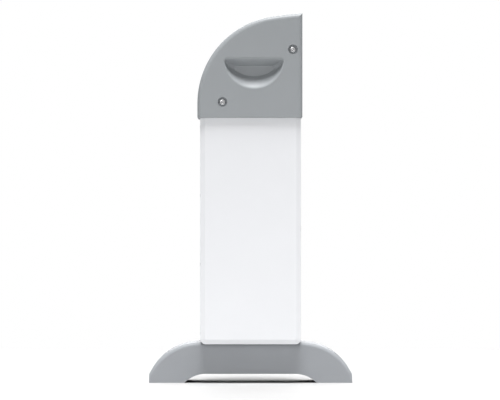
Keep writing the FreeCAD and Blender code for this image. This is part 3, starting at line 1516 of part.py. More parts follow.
def main():
    parts = [
        make_foot(), make_foot_bolts(), make_base_plate(), make_gland(),
        make_frame(),
        make_column_side("column_side_left", -1), make_column_side("column_side_right", 1),
        make_rear_panel(), make_column_door(), *make_pivots(),
        *make_lock("column", COLUMN_FRONT, "column_lock_offset", "column_lock_height"),
        *make_lock("head", "fascia_front", "head_lock_offset", "head_lock_height"),
        make_strikes(), *make_vault(), make_supply(),
        *make_head_shells(), make_chassis(), make_cheek_screws(),
        make_fascia(), *make_display(), make_reader(), *make_card_slot(), *make_keypad(), *make_coin_entry(),
        make_button("help_button", "help_offset", "help_height", "help_size"),
        make_button("coin_reject_button", "reject_offset", "reject_height", "reject_size"),
        *make_cup("receipt_cup", "receipt_flap", "receipt_left", "receipt_right"),
        *make_cup("coin_cup", "coin_flap", "coin_cup_left", "coin_cup_right"),
        *make_printer(), make_controller(),
    ]
    doc.recompute()
    check(parts)
    os.makedirs("parts", exist_ok=True)
    for made in parts:
        made.Shape.exportStep(f"parts/{made.Label}.step")
    print(len(parts), "parts written")


main()
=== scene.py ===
# %% [markdown]
# # A parking pay station
#
# The machine stands on a cast, bridge-shaped foot. A white sheet-metal column carries a grey head, and
# the head's flat front is a door full of payment units. The solids come from a CAD program and are
# already in place. This script gives them their finishes, adds the small parts that a solid modeller
# would leave out, and lights the whole for a product view.

import json
import math

import bmesh
import bpy
import numpy as np
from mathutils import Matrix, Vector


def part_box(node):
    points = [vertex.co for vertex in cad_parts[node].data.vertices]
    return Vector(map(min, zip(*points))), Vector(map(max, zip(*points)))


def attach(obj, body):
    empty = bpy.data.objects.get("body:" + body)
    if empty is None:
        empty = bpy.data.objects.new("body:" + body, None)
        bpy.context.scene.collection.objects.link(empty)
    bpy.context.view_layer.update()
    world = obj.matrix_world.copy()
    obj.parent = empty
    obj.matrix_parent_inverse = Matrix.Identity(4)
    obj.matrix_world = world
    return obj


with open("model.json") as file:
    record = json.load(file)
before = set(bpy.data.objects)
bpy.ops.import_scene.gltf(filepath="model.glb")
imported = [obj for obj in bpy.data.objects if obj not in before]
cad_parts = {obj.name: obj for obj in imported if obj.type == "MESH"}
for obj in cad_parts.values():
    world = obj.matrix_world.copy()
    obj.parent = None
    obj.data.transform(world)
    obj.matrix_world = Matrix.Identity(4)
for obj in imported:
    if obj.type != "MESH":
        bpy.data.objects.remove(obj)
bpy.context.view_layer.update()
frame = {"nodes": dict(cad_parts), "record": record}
nodes = frame["nodes"]
print(len(nodes), "solids loaded")

# %% [markdown]
# ## Camera and light
#
# A product picture of a tall machine is taken from far away with a long lens, so that upright edges
# stay parallel. An orthographic camera would do that too, but a long lens keeps a trace of real
# perspective. The sensor is 36 mm wide, so at a given distance the view is distance x 36 / lens wide.

# %% Camera
LENS = 300.0
SENSOR = 36.0
VIEW_WIDTH = 1.6865
SIDE_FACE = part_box("cheek_left")[0].y
AIM = (-0.0019, 0.6193)

camera_data = bpy.data.cameras.new("long_lens")
camera_data.lens = LENS
camera_data.sensor_width = SENSOR
camera_data.clip_end = 100.0
camera = bpy.data.objects.new("camera", camera_data)
bpy.context.scene.collection.objects.link(camera)
stand_off = VIEW_WIDTH * LENS / SENSOR
camera.location = (AIM[0], SIDE_FACE - stand_off, AIM[1])
camera.rotation_euler = (math.pi / 2, 0, 0)
bpy.context.scene.camera = camera
print("camera stands", round(stand_off, 2), "m from the machine's side")

# %% [markdown]
# A white room lights the machine from every side, the way a light tent does, and one wide soft sun
# from above the viewer's shoulder gives it direction: upward faces turn lighter and hollows darker.
# The room itself looks pure white to the camera, but lights a little less than that, so that the
# white column keeps its tone against it.

# %% Light, floor and view
scene = bpy.context.scene
scene.view_settings.view_transform = "Standard"
ROOM_LIGHT = 0.22
world = bpy.data.worlds.new("light_tent")
world.use_nodes = True
world_nodes, world_links = world.node_tree.nodes, world.node_tree.links
seen = world_nodes.new("ShaderNodeLightPath")
level = world_nodes.new("ShaderNodeMapRange")
level.inputs["To Min"].default_value = ROOM_LIGHT
level.inputs["To Max"].default_value = 1.0
world_links.new(seen.outputs["Is Camera Ray"], level.inputs["Value"])
world_nodes["Background"].inputs["Color"].default_value = (1, 1, 1, 1)
world_links.new(level.outputs["Result"], world_nodes["Background"].inputs["Strength"])
scene.world = world


def soft_sun(name, elevation, azimuth, strength, width):
    """A sun whose strength is in the room's units: 1 lights a wall facing it as a white room would."""
    data = bpy.data.lights.new(name, "SUN")
    data.energy = strength * math.pi
    data.angle = math.radians(width)
    lamp = bpy.data.objects.new(name, data)
    scene.collection.objects.link(lamp)
    lamp.rotation_euler = (math.radians(90 - elevation), 0, math.radians(azimuth))
    return lamp


soft_sun("overhead", 80.0, 0.0, 1.48, 26.0)
soft_sun("front_fill", 15.0, -12.0, 0.18, 20.0)
soft_sun("user_fill", 25.0, 90.0, 0.09, 30.0)
soft_sun("back_fill", 30.0, 180.0, 0.45, 40.0)

FLOOR_HALF = 3.0
floor_mesh = bpy.data.meshes.new("floor")
corners = np.array([[-1, -1, 0], [1, -1, 0], [1, 1, 0], [-1, 1, 0]]) * FLOOR_HALF
floor_mesh.from_pydata(corners.tolist(), [], [(0, 1, 2, 3)])
floor = bpy.data.objects.new("floor", floor_mesh)
scene.collection.objects.link(floor)
print("floor is", 2 * FLOOR_HALF, "m across")

# %% [markdown]
# ## Finishes
#
# A painted surface is never one colour. Powder coat has a fine orange peel, a slow drift in tone and
# a slightly uneven gloss. All three come from noise at different scales, read from Object
# coordinates in metres so that the grain has its real size. One helper builds that chain, and each
# finish gives it its own numbers.


# %% Helpers that wire noise into colour, roughness and bump
NOISE_LOW, NOISE_HIGH = 0.3, 0.7


def new_material(name):
    """A node material with its principled shader, its nodes and its links."""
    material = bpy.data.materials.new(name)
    material.use_nodes = True
    return material, material.node_tree.nodes, material.node_tree.links


def noise(nodes_, links, scale, detail=3.0, stretch=None):
    """Noise over Object coordinates. Scale is in cycles per metre, and stretch squeezes it along axes."""
    place = nodes_.new("ShaderNodeTexCoord")
    source = place.outputs["Object"]
    if stretch:
        mapping = nodes_.new("ShaderNodeMapping")
        mapping.inputs["Scale"].default_value = stretch
        links.new(source, mapping.inputs["Vector"])
        source = mapping.outputs["Vector"]
    made = nodes_.new("ShaderNodeTexNoise")
    made.inputs["Scale"].default_value = scale
    made.inputs["Detail"].default_value = detail
    links.new(source, made.inputs["Vector"])
    return made.outputs["Fac"]


def spread(nodes_, links, value, low, high):
    """Noise, which mostly lies between NOISE_LOW and NOISE_HIGH, mapped to run from low to high."""
    made = nodes_.new("ShaderNodeMapRange")
    made.inputs["From Min"].default_value = NOISE_LOW
    made.inputs["From Max"].default_value = NOISE_HIGH
    made.inputs["To Min"].default_value = low
    made.inputs["To Max"].default_value = high
    links.new(value, made.inputs["Value"])
    return made.outputs["Result"]


def two_tones(nodes_, links, value, colour, drift):
    """A ramp between a slightly darker and a slightly lighter version of a colour."""
    ramp = nodes_.new("ShaderNodeValToRGB")
    ramp.color_ramp.elements[0].position = NOISE_LOW
    ramp.color_ramp.elements[1].position = NOISE_HIGH
    ramp.color_ramp.elements[0].color = [c * (1 - drift) for c in colour] + [1]
    ramp.color_ramp.elements[1].color = [min(c * (1 + drift), 1.0) for c in colour] + [1]
    links.new(value, ramp.inputs["Fac"])
    return ramp.outputs["Color"]


def bump(nodes_, links, value, strength, distance):
    """Height in metres turned into a bent normal."""
    made = nodes_.new("ShaderNodeBump")
    made.inputs["Strength"].default_value = strength
    made.inputs["Distance"].default_value = distance
    links.new(value, made.inputs["Height"])
    return made.outputs["Normal"]


def finish(name, colour, rough, metallic=0.0, drift=0.03, drift_scale=7.0, grain_scale=900.0, grain=0.2,
           depth=0.0001, stretch=None, coat=0.0):
    """A surface whose tone drifts slowly, whose gloss is uneven and whose grain catches the light."""
    material, n, l = new_material(name)
    shader = n["Principled BSDF"]
    shader.inputs["Metallic"].default_value = metallic
    shader.inputs["Coat Weight"].default_value = coat
    slow = noise(n, l, drift_scale, 4.0)
    fine = noise(n, l, grain_scale, 2.0, stretch)
    l.new(two_tones(n, l, slow, colour, drift), shader.inputs["Base Color"])
    l.new(spread(n, l, fine, rough[0], rough[1]), shader.inputs["Roughness"])
    l.new(bump(n, l, fine, grain, depth), shader.inputs["Normal"])
    return material


# %% [markdown]
# The head, foot and column are powder coated. The head and foot share a cool light grey. The foot is
# a casting under its paint, so its grain is coarser. The column is a bluish white.

# %% Painted finishes
GREY = (0.352, 0.372, 0.388)
FOOT_GREY = (0.335, 0.350, 0.372)
WHITE = (0.90, 0.91, 0.935)

looks = {
    "grey_shell": finish("grey_powder_coat", GREY, (0.42, 0.50), drift=0.012, grain_scale=700, grain=0.10),
    "grey_cast": finish("painted_casting", FOOT_GREY, (0.44, 0.56), drift=0.02, grain_scale=420, grain=0.22),
    "white_panel": finish("white_powder_coat", WHITE, (0.38, 0.46), drift=0.006, grain_scale=700, grain=0.08),
    "dark_fascia": finish(
        "dark_textured_paint", (0.045, 0.048, 0.053), (0.45, 0.60), drift=0.08, grain_scale=1500, grain=0.5
    ),
    "vault_steel": finish(
        "hammered_paint", (0.06, 0.065, 0.07), (0.25, 0.45), drift=0.15, grain_scale=160, grain=0.7,
        depth=0.0006,
    ),
}
print(len(looks), "painted finishes")

# %% [markdown]
# Steel shows how it was worked. The frame is zinc plated, with a faint spangle. Polished screw heads
# keep fine scratches, and a brushed key has a grain along one direction, which stretched noise gives.

# %% Metals, plastics and paper
looks["steel_frame"] = finish("zinc_plate", (0.52, 0.53, 0.54), (0.30, 0.50), 0.9, 0.12, 45.0, 90.0, 0.15)
looks["bright_steel"] = finish(
    "polished_steel", (0.78, 0.78, 0.79), (0.16, 0.30), 1.0, 0.04, 40.0, 1200.0, 0.15
)
looks["key_steel"] = finish(
    "brushed_steel", (0.56, 0.56, 0.57), (0.28, 0.46), 1.0, 0.05, 60.0, 400.0, 0.3, stretch=(1.0, 0.12, 6.0)
)
looks["black_plastic"] = finish(
    "black_moulding", (0.018, 0.018, 0.020), (0.42, 0.62), drift=0.2, grain_scale=2200, grain=0.4
)
looks["box_grey"] = finish(
    "grey_moulding", (0.13, 0.135, 0.14), (0.45, 0.62), drift=0.1, grain_scale=1600, grain=0.4
)
for slot, colour in (("red", (0.52, 0.025, 0.02)), ("green", (0.02, 0.27, 0.07))):
    looks["key_" + slot] = finish(
        slot + "_key_plastic", colour, (0.26, 0.38), drift=0.06, grain_scale=1500, grain=0.2, coat=0.3
    )
looks["paper"] = finish(
    "thermal_paper", (0.84, 0.83, 0.80), (0.6, 0.75), drift=0.03, grain_scale=1800, grain=0.25,
    stretch=(1, 8, 1),
)
print(len(looks), "finishes so far")

# %% [markdown]
# The display is a pane of toughened glass over a dark panel. A solid pane that lets light through
# needs transmission, and a trace of smudge in its roughness makes it read as glass.

# %% Glass and screen
glass, n, l = new_material("toughened_glass")
glass_shader = n["Principled BSDF"]
glass_shader.inputs["Base Color"].default_value = (0.93, 0.95, 0.96, 1)
glass_shader.inputs["Transmission Weight"].default_value = 0.95
glass_shader.inputs["IOR"].default_value = 1.45
smudge = noise(n, l, 25.0, 5.0)
l.new(spread(n, l, smudge, 0.02, 0.10), glass_shader.inputs["Roughness"])
looks["display_glass"] = glass

# %% [markdown]
# The screen shows a menu of plain blocks: a bar on top, four large choices, a column of smaller ones
# and a progress line. Each block is a rounded rectangle, found where the sum of two eighth powers is
# below one. The picture is read from Object coordinates in metres, so it stays on the panel when the
# door swings open.

# %% Picture on the screen
screen, n, l = new_material("screen_panel")
screen_shader = n["Principled BSDF"]
screen_shader.inputs["Base Color"].default_value = (0.012, 0.016, 0.022, 1)
screen_low, screen_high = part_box("display_module")
ACROSS, UP = (screen_high.y - screen_low.y), (screen_high.z - screen_low.z)
BLOCK_POWER = 8.0
LIT_SKIN = 0.0002
SCREEN_GLOW = 0.9
split = n.new("ShaderNodeSeparateXYZ")
l.new(n.new("ShaderNodeTexCoord").outputs["Object"], split.inputs[0])


def calculate(nodes_, links, operation, *values):
    """One arithmetic node. A value may be a number or another node's output."""
    made = nodes_.new("ShaderNodeMath")
    made.operation = operation
    for socket, value in zip(made.inputs, values):
        if isinstance(value, (int, float)):
            socket.default_value = value
        else:
            links.new(value, socket)
    return made.outputs[0]


def block_mask(nodes_, links, middle, half):
    """1 inside a rounded rectangle, 0 outside. Places are fractions of the screen's width and height."""
    powers = []
    for part, low, span, centre, reach in (
        ("Y", screen_low.y, ACROSS, middle[0], half[0]),
        ("Z", screen_low.z, UP, middle[1], half[1]),
    ):
        away = calculate(nodes_, links, "SUBTRACT", split.outputs[part], low + centre * span)
        share = calculate(nodes_, links, "ABSOLUTE", calculate(nodes_, links, "DIVIDE", away, reach * span))
        powers.append(calculate(nodes_, links, "POWER", share, BLOCK_POWER))
    return calculate(nodes_, links, "LESS_THAN", calculate(nodes_, links, "ADD", *powers), 1.0)


BLOCKS = [
    ((0.50, 0.50), (0.49, 0.48), (0.030, 0.075, 0.130)),
    ((0.50, 0.88), (0.45, 0.05), (0.62, 0.70, 0.76)),
    ((0.22, 0.64), (0.17, 0.13), (0.05, 0.30, 0.52)),
    ((0.60, 0.64), (0.17, 0.13), (0.05, 0.30, 0.52)),
    ((0.22, 0.32), (0.17, 0.13), (0.05, 0.30, 0.52)),
    ((0.60, 0.32), (0.17, 0.13), (0.10, 0.42, 0.22)),
    ((0.88, 0.66), (0.06, 0.10), (0.55, 0.57, 0.58)),
    ((0.88, 0.36), (0.06, 0.10), (0.55, 0.57, 0.58)),
    ((0.41, 0.11), (0.36, 0.022), (0.16, 0.20, 0.24)),
    ((0.23, 0.11), (0.18, 0.018), (0.85, 0.62, 0.12)),
]
picture = None
for middle, half, colour in BLOCKS:
    layer = n.new("ShaderNodeMix")
    layer.data_type = "RGBA"
    if picture is None:
        layer.inputs["A"].default_value = (0.004, 0.006, 0.010, 1)
    else:
        l.new(picture, layer.inputs["A"])
    layer.inputs["B"].default_value = (*colour, 1)
    l.new(block_mask(n, l, middle, half), layer.inputs["Factor"])
    picture = layer.outputs["Result"]
l.new(picture, screen_shader.inputs["Emission Color"])
# Only the panel's front face is lit. Its sides and its back stay dark.
lit_face = calculate(n, l, "GREATER_THAN", split.outputs["X"], screen_high.x - LIT_SKIN)
l.new(calculate(n, l, "MULTIPLY", lit_face, SCREEN_GLOW), screen_shader.inputs["Emission Strength"])
l.new(spread(n, l, noise(n, l, 3000.0), 0.18, 0.30), screen_shader.inputs["Roughness"])
looks["screen"] = screen
print(len(BLOCKS), "blocks on the screen")

# %% [markdown]
# The floor is a plain pale sweep, a little uneven so that it doesn't look computed.

# %% Floor finish
floor_look = finish(
    "pale_floor", (0.50, 0.50, 0.50), (0.7, 0.8), drift=0.004, drift_scale=2.0, grain_scale=60, grain=0.02
)
floor_mesh.materials.append(floor_look)

# %% Give every solid its finish
slot_of = {row["node"]: row["material_slot"] for row in frame["record"]["subparts"]}
for name, solid in nodes.items():
    solid.data.materials.clear()
    solid.data.materials.append(looks[slot_of[name]])
print("finishes given to", len(slot_of), "solids")

# %% [markdown]
# ## Star sockets of the cheek screws
#
# Apart from the digits, every added surface is a grid of points that numpy computes, joined into quads.
#
# The four button-head screws are turned with a six-lobed key. The socket's outline is a circle whose
# radius waves six times round. Carried down the screw's axis it gives the socket's wall, and its
# rings shrink to a point to give the floor. The solid has only a round pit there, so this piece
# lines it.


# %% A grid of points made into a mesh piece
MERGE = 1e-7


def grid_mesh(name, points, material, body, wrap=False, ring=False):
    """An (m, k, 3) array of points joined into quads.

    With wrap, the second direction closes on itself. With ring, the first direction does too. Points
    that meet, as at a pole, are merged into one.
    """
    rows, columns = points.shape[:2]
    index = np.arange(rows * columns).reshape(rows, columns)
    down = rows if ring else rows - 1
    across = columns if wrap else columns - 1
    below, beside = np.roll(index, -1, axis=0), np.roll(index, -1, axis=1)
    corner = np.roll(below, -1, axis=1)
    faces = np.stack([index, beside, corner, below], axis=-1)[:down, :across].reshape(-1, 4)
    mesh = bpy.data.meshes.new(name)
    mesh.from_pydata(points.reshape(-1, 3).tolist(), [], faces.tolist())
    closed = bmesh.new()
    closed.from_mesh(mesh)
    bmesh.ops.remove_doubles(closed, verts=closed.verts, dist=MERGE)
    closed.to_mesh(mesh)
    closed.free()
    return placed(name, mesh, material, body)


def placed(name, mesh, material, body):
    """A finished mesh as an object that rides one of the machine's bodies."""
    mesh.materials.append(material)
    mesh.shade_smooth()
    made = bpy.data.objects.new(name, mesh)
    scene.collection.objects.link(made)
    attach(made, body)
    return made


def round_angles(count):
    """Angles round a full turn, without repeating the first."""
    return np.arange(count) * (2 * math.pi / count)


# %% Star sockets
SOCKET_RADIUS = 0.0032
SOCKET_WAVE = 0.00045
SOCKET_DEPTH = 0.0034
LOBES = 6
SCREW_SPOTS = ((0.1430, 1.1275), (-0.0945, 0.9500))
SCREW_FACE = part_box("cheek_screws")[1].y
SCREW_PIT = 0.0040
SOCKET_SHARES = (1.0, 0.97, 0.5, 0.0)
SOCKET_LEVELS = (0.06, 0.12, 1.0, 1.03, 1.05)


def star_socket(side, x, z):
    """The lining of a pit, from its rim to its floor, on the radius r + w cos(6a) round the screw's axis.

    Ring 0 is the pit's own circle, just inside the screw's face. The next rings have the waved radius,
    run down the socket with a slight taper, and shrink to a point at the floor's middle.
    """
    turn = round_angles(36)
    wave = SOCKET_RADIUS + SOCKET_WAVE * np.cos(LOBES * turn)
    rings = np.stack([np.full_like(turn, SCREW_PIT)] + [wave * share for share in SOCKET_SHARES])
    depth = SOCKET_DEPTH * np.array(SOCKET_LEVELS)
    points = np.empty(rings.shape + (3,))
    points[..., 0] = x - side * rings * np.cos(turn)
    points[..., 1] = side * (SCREW_FACE - depth[:, None])
    points[..., 2] = z + rings * np.sin(turn)
    return points


for number, (x, z) in enumerate(SCREW_SPOTS):
    for side, word in ((-1, "left"), (1, "right")):
        grid_mesh(
            f"socket_{word}_{number}", star_socket(side, x, z), looks["bright_steel"], "station",
            wrap=True,
        )
print("star sockets:", 2 * len(SCREW_SPOTS))

# %% [markdown]
# ## Raised strokes
#
# Many small marks on a pay station are raised strokes: the rings on a contactless reader, the arrows
# that point at a slot, the light line under a card mouth. All are one idea, a low D-shaped profile
# carried along a line that is drawn on an upright plane. Open strokes end in a half circle.


# %% A D-shaped profile along a line
RUN_POINTS = 33
PROFILE_POINTS = 12
SEAT = -0.2


def stroke(name, path, width, rise, face_x, material, body, closed=False):
    """Points at path + (width/2)cos(a) sideways and rise sin(a) outwards, with a running round the profile.

    Below SEAT the profile is pressed flat, so that the stroke sits in its face. Near an open end the profile
    shrinks as a circle does, by the square root of 1 - (1 - s)^2, with s the distance from the end
    in half widths.
    """
    line = np.asarray(path, float)
    if closed:
        heading = np.roll(line, -1, axis=0) - np.roll(line, 1, axis=0)
        size = np.ones(len(line))
    else:
        run = np.concatenate([[0.0], np.cumsum(np.linalg.norm(np.diff(line, axis=0), axis=1))])
        at = run[-1] * (1 - np.cos(np.linspace(0, math.pi, RUN_POINTS))) / 2
        line = np.stack([np.interp(at, run, line[:, k]) for k in (0, 1)], axis=-1)
        heading = np.gradient(line, axis=0)
        from_end = np.clip(np.minimum(at, run[-1] - at) / (width / 2), 0, 1)
        size = np.sqrt(1 - (1 - from_end) ** 2)
    heading /= np.linalg.norm(heading, axis=1, keepdims=True)
    sideways = np.stack([-heading[:, 1], heading[:, 0]], axis=-1)
    turn = round_angles(PROFILE_POINTS)
    wide = width / 2 * np.cos(turn) * size[:, None]
    out = rise * np.maximum(np.sin(turn), SEAT) * size[:, None]
    points = np.empty(wide.shape + (3,))
    points[..., 0] = face_x + out
    points[..., 1] = line[:, :1] + sideways[:, :1] * wide
    points[..., 2] = line[:, 1:] + sideways[:, 1:] * wide
    return grid_mesh(name, points, material, body, wrap=True, ring=closed)


def ring_path(y, z, radius, count=48):
    """A circle on an upright plane."""
    turn = round_angles(count)
    return np.stack([y + radius * np.cos(turn), z + radius * np.sin(turn)], axis=-1)


def frame_path(y, z, half_wide, half_high, power=8.0, count=96):
    """A rounded rectangle: the superellipse |y|^p + |z|^p = 1, scaled to its halves, with a high power p."""
    turn = round_angles(count)
    c, s = np.cos(turn), np.sin(turn)
    stretch = (np.abs(c) ** power + np.abs(s) ** power) ** (-1 / power)
    return np.stack([y + half_wide * c * stretch, z + half_high * s * stretch], axis=-1)


# %% [markdown]
# Light lines are clear plastic over a lamp. Printed marks are a pale ink. Both are given a slightly
# uneven tone.

# %% Finishes of lights and ink
def glow(name, colour, strength):
    """A lit lens whose brightness wanders a little, as the lamps behind it do."""
    material, n, l = new_material(name)
    shader = n["Principled BSDF"]
    shader.inputs["Base Color"].default_value = (*[c * 0.6 for c in colour], 1)
    shader.inputs["Emission Color"].default_value = (*colour, 1)
    wander = spread(n, l, noise(n, l, 160.0), strength * 0.8, strength * 1.2)
    l.new(wander, shader.inputs["Emission Strength"])
    l.new(spread(n, l, noise(n, l, 900.0), 0.25, 0.40), shader.inputs["Roughness"])
    return material


lamp_green = glow("green_lens", (0.10, 0.80, 0.25), 0.9)
lamp_blue = glow("blue_lens", (0.15, 0.45, 0.95), 0.8)
ink = finish("pale_ink", (0.62, 0.64, 0.66), (0.5, 0.65), drift=0.06, grain_scale=1800, grain=0.15)
print("lenses and ink ready")

# %% [markdown]
# ## Marks round the payment units
#
# The contactless reader carries three rings and four lamps. The card mouth has a light line under it
# and two arrows above it. Two rings under the coin slot stand for a coin. Thin raised frames surround
# the screen and the keypad, and the two cups have arrows over them.


# %% Marks of the reader
def middle_of(node):
    """The middle of a solid's box, seen from the user's side, as (y, z)."""
    low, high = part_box(node)
    return (low.y + high.y) / 2, (low.z + high.z) / 2


MARK_RISE = 0.0004
reader_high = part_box("contactless_reader")[1]
reader_middle = middle_of("contactless_reader")
for number, radius in enumerate((0.008, 0.014, 0.020)):
    stroke(
        f"reader_ring_{number}", ring_path(*reader_middle, radius), 0.0016, MARK_RISE, reader_high.x, ink,
        "head_door", closed=True,
    )
LAMP_PITCH = 0.009
LAMP_REACH = 0.0025
lamp_z = reader_high.z - 0.007
for number in range(4):
    lamp_y = reader_middle[0] + (number - 1.5) * LAMP_PITCH
    stroke(
        f"reader_lamp_{number}", [(lamp_y - LAMP_REACH, lamp_z), (lamp_y + LAMP_REACH, lamp_z)],
        0.0020, 0.0006, reader_high.x, lamp_green, "head_door",
    )
print("reader marks at", [round(c, 3) for c in reader_middle])

# %% Marks of the card slot, the coin slot, the cups and the screen
fascia_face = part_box("fascia")[1].x
bezel_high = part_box("card_slot_bezel")[1]
bezel_y, bezel_z = middle_of("card_slot_bezel")
LIGHT_REACH = 0.024
light_z = bezel_z - 0.012
stroke(
    "card_light", [(bezel_y - LIGHT_REACH, light_z), (bezel_y + LIGHT_REACH, light_z)], 0.0030, 0.0007,
    bezel_high.x, lamp_blue, "head_door",
)


def chevron(name, y, z, way, half=0.005):
    """An arrow head that points up (way 1) or down (way -1)."""
    tip = z + way * half
    path = [(y - half, z - way * half * 0.2), (y, tip), (y + half, z - way * half * 0.2)]
    return stroke(name, path, 0.0018, MARK_RISE, fascia_face, ink, "head_door")


chevron("card_arrow_low", bezel_y, bezel_high.z + 0.007, -1)
chevron("card_arrow_high", bezel_y, bezel_high.z + 0.014, -1)
coin_y = middle_of("coin_bezel")[0]
coin_mark_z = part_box("coin_bezel")[0].z - 0.012
for word, radius, count, width in (("rim", 0.0075, 48, 0.0014), ("heart", 0.0042, 32, 0.0012)):
    stroke(
        "coin_mark_" + word, ring_path(coin_y, coin_mark_z, radius, count), width, MARK_RISE, fascia_face,
        ink, "head_door", closed=True,
    )
for cup in ("receipt_cup", "coin_cup"):
    chevron(cup + "_arrow", middle_of(cup)[0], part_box(cup)[1].z + 0.008, -1)
glass_low, glass_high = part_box("display_window")
stroke(
    "screen_frame",
    frame_path(
        *middle_of("display_window"), (glass_high.y - glass_low.y) / 2, (glass_high.z - glass_low.z) / 2,
        power=30.0, count=160,
    ),
    0.0022, 0.0005, fascia_face, looks["black_plastic"], "head_door", closed=True,
)
pad_low, pad_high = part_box("keypad_housing")
stroke(
    "keypad_frame",
    frame_path(
        *middle_of("keypad_housing"), (pad_high.y - pad_low.y) / 2 - 0.0020,
        (pad_high.z - pad_low.z) / 2 - 0.0016, power=24.0, count=120,
    ),
    0.0014, 0.0005, pad_high.x, looks["bright_steel"], "head_door", closed=True,
)
print("marks on the fascia at x", round(fascia_face, 4))

# %% [markdown]
# Each lock's flange carries two raised bright rings round its core.

# %% Rings of the two locks
for word, door in (("column", "column_door"), ("head", "head_door")):
    core_low, core_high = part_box(word + "_lock_core")
    flange_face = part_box(word + "_lock_housing")[1].x
    core_middle = middle_of(word + "_lock_core")
    core_radius = (core_high.y - core_low.y) / 2
    for number, spare in enumerate((0.0014, 0.0042)):
        stroke(
            f"{word}_lock_ring_{number}", ring_path(*core_middle, core_radius + spare), 0.0012, MARK_RISE,
            flange_face, looks["bright_steel"], door, closed=True,
        )
    print(word, "lock rings at x", round(flange_face, 4))

# %% [markdown]
# ## Key legends
#
# The digits are moulded on the keys, a sixth of a millimetre proud. A digit takes about DIGIT_SHARE of
# its type size. Each is a text curve turned into a
# mesh, whose x, y and z become the machine's Y, Z and X. Cancel has a cross, enter a tick, and the
# middle key a small bar that a finger can find.

# %% Legends
DIGIT_HEIGHT = 0.0072
DIGIT_SHARE = 0.7
LEGEND_RISE = 0.00016
legend_ink = finish("dark_legend", (0.03, 0.03, 0.032), (0.5, 0.6), drift=0.1, grain_scale=1800, grain=0.2)


def digit(key):
    """The key's own digit, standing on its tip."""
    low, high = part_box(f"key_{key}")
    curve = bpy.data.curves.new(f"curve_{key}", "FONT")
    curve.body = str(key)
    curve.size = DIGIT_HEIGHT / DIGIT_SHARE
    curve.extrude = LEGEND_RISE
    curve.resolution_u = 3
    holder = bpy.data.objects.new(f"holder_{key}", curve)
    scene.collection.objects.link(holder)
    bpy.context.view_layer.update()
    seen_now = holder.evaluated_get(bpy.context.evaluated_depsgraph_get())
    mesh = bpy.data.meshes.new_from_object(seen_now)
    bpy.data.objects.remove(holder)
    flat = np.empty(len(mesh.vertices) * 3)
    mesh.vertices.foreach_get("co", flat)
    flat = flat.reshape(-1, 3)
    flat[:, :2] -= (flat[:, :2].min(axis=0) + flat[:, :2].max(axis=0)) / 2
    middle = np.array([high.x, (low.y + high.y) / 2, (low.z + high.z) / 2])
    stood = flat[:, [2, 0, 1]] + middle
    mesh.vertices.foreach_set("co", stood.ravel())
    mesh.materials.clear()
    mesh.name = f"digit_{key}"
    made = placed(f"digit_{key}", mesh, legend_ink, f"key_{key}")
    mesh.shade_flat()
    return made


for key in range(10):
    digit(key)
mark = {name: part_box(name) for name in ("key_cancel", "key_enter", "key_5")}
SIGN_WIDTH = 0.0011
SIGN_RISE = 0.0003
cancel_y, cancel_z = ((mark["key_cancel"][0] + mark["key_cancel"][1]) / 2).yz
REACH = 0.0026
for word, way in (("rise", 1), ("fall", -1)):
    stroke(
        f"cancel_{word}",
        [(cancel_y - REACH, cancel_z - way * REACH), (cancel_y + REACH, cancel_z + way * REACH)],
        SIGN_WIDTH, SIGN_RISE, mark["key_cancel"][1].x, ink, "key_cancel",
    )
enter_y, enter_z = ((mark["key_enter"][0] + mark["key_enter"][1]) / 2).yz
TICK = ((-0.0030, 0.0), (-0.0008, -0.0024), (0.0034, 0.0026))
stroke(
    "enter_tick", [(enter_y + y, enter_z + z) for y, z in TICK], SIGN_WIDTH, SIGN_RISE,
    mark["key_enter"][1].x, ink, "key_enter",
)
five_y, five_z = ((mark["key_5"][0] + mark["key_5"][1]) / 2).yz
bar_z = five_z - 0.0048
stroke(
    "five_bar", [(five_y - 0.0016, bar_z), (five_y + 0.0016, bar_z)], 0.0008, 0.0004, mark["key_5"][1].x,
    looks["key_steel"], "key_5",
)
print("digits on 10 keys, signs on", len(mark))

# %% [markdown]
# ## Screws of the rear panel
#
# The rear panel is held to the frame's posts by eight low screws that stand less than a millimetre
# proud. A turned profile gives the rounded rim, the flat and the socket in one surface.


# %% Turned pieces
SEATED = 0.0001


def turned(profile, x, y, z, way):
    """A profile of (radius, height) rings turned round an axis along X. It faces the way given.

    Two rings below the face, one of them a point, close the piece at its base.
    """
    turn = round_angles(18)
    radius, height = np.asarray(profile, float).T
    radius = np.concatenate([[0.0, radius[0]], radius])
    height = np.concatenate([[-SEATED, -SEATED], height])
    points = np.empty((len(radius), len(turn), 3))
    points[..., 0] = x + way * height[:, None]
    points[..., 1] = y + way * radius[:, None] * np.cos(turn)
    points[..., 2] = z + radius[:, None] * np.sin(turn)
    return points


# %% Screws of the panel
SCREW_INSET = 0.0095
SCREW_MARGIN = 0.030
PANEL_SCREW = [
    (0.0062, 0.0), (0.0061, 0.0004), (0.0056, 0.0007), (0.0026, 0.0008), (0.0024, 0.0002), (0.0, 0.0002),
]
panel_low, panel_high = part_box("rear_panel")
screw_y = panel_high.y - SCREW_INSET
screw_heights = np.linspace(panel_low.z + SCREW_MARGIN, panel_high.z - SCREW_MARGIN, 4)
for number, z in enumerate(screw_heights):
    for word, y in (("left", -screw_y), ("right", screw_y)):
        grid_mesh(
            f"panel_screw_{word}_{number}", turned(PANEL_SCREW, panel_low.x, y, z, -1),
            looks["bright_steel"], "station", wrap=True,
        )
print("panel screws:", 2 * len(screw_heights))

# %% [markdown]
# ## Fronts of the machines inside
#
# Service staff see these with the doors open. The power supply has a fan guard and cooling ribs, the
# controller a row of sockets, the printer a paper outlet and a lamp, and the safe a lock. Each also
# has a blank rating plate, which is a superellipse with a rounded rim. Ribs, guards and sockets are
# the raised strokes used above.


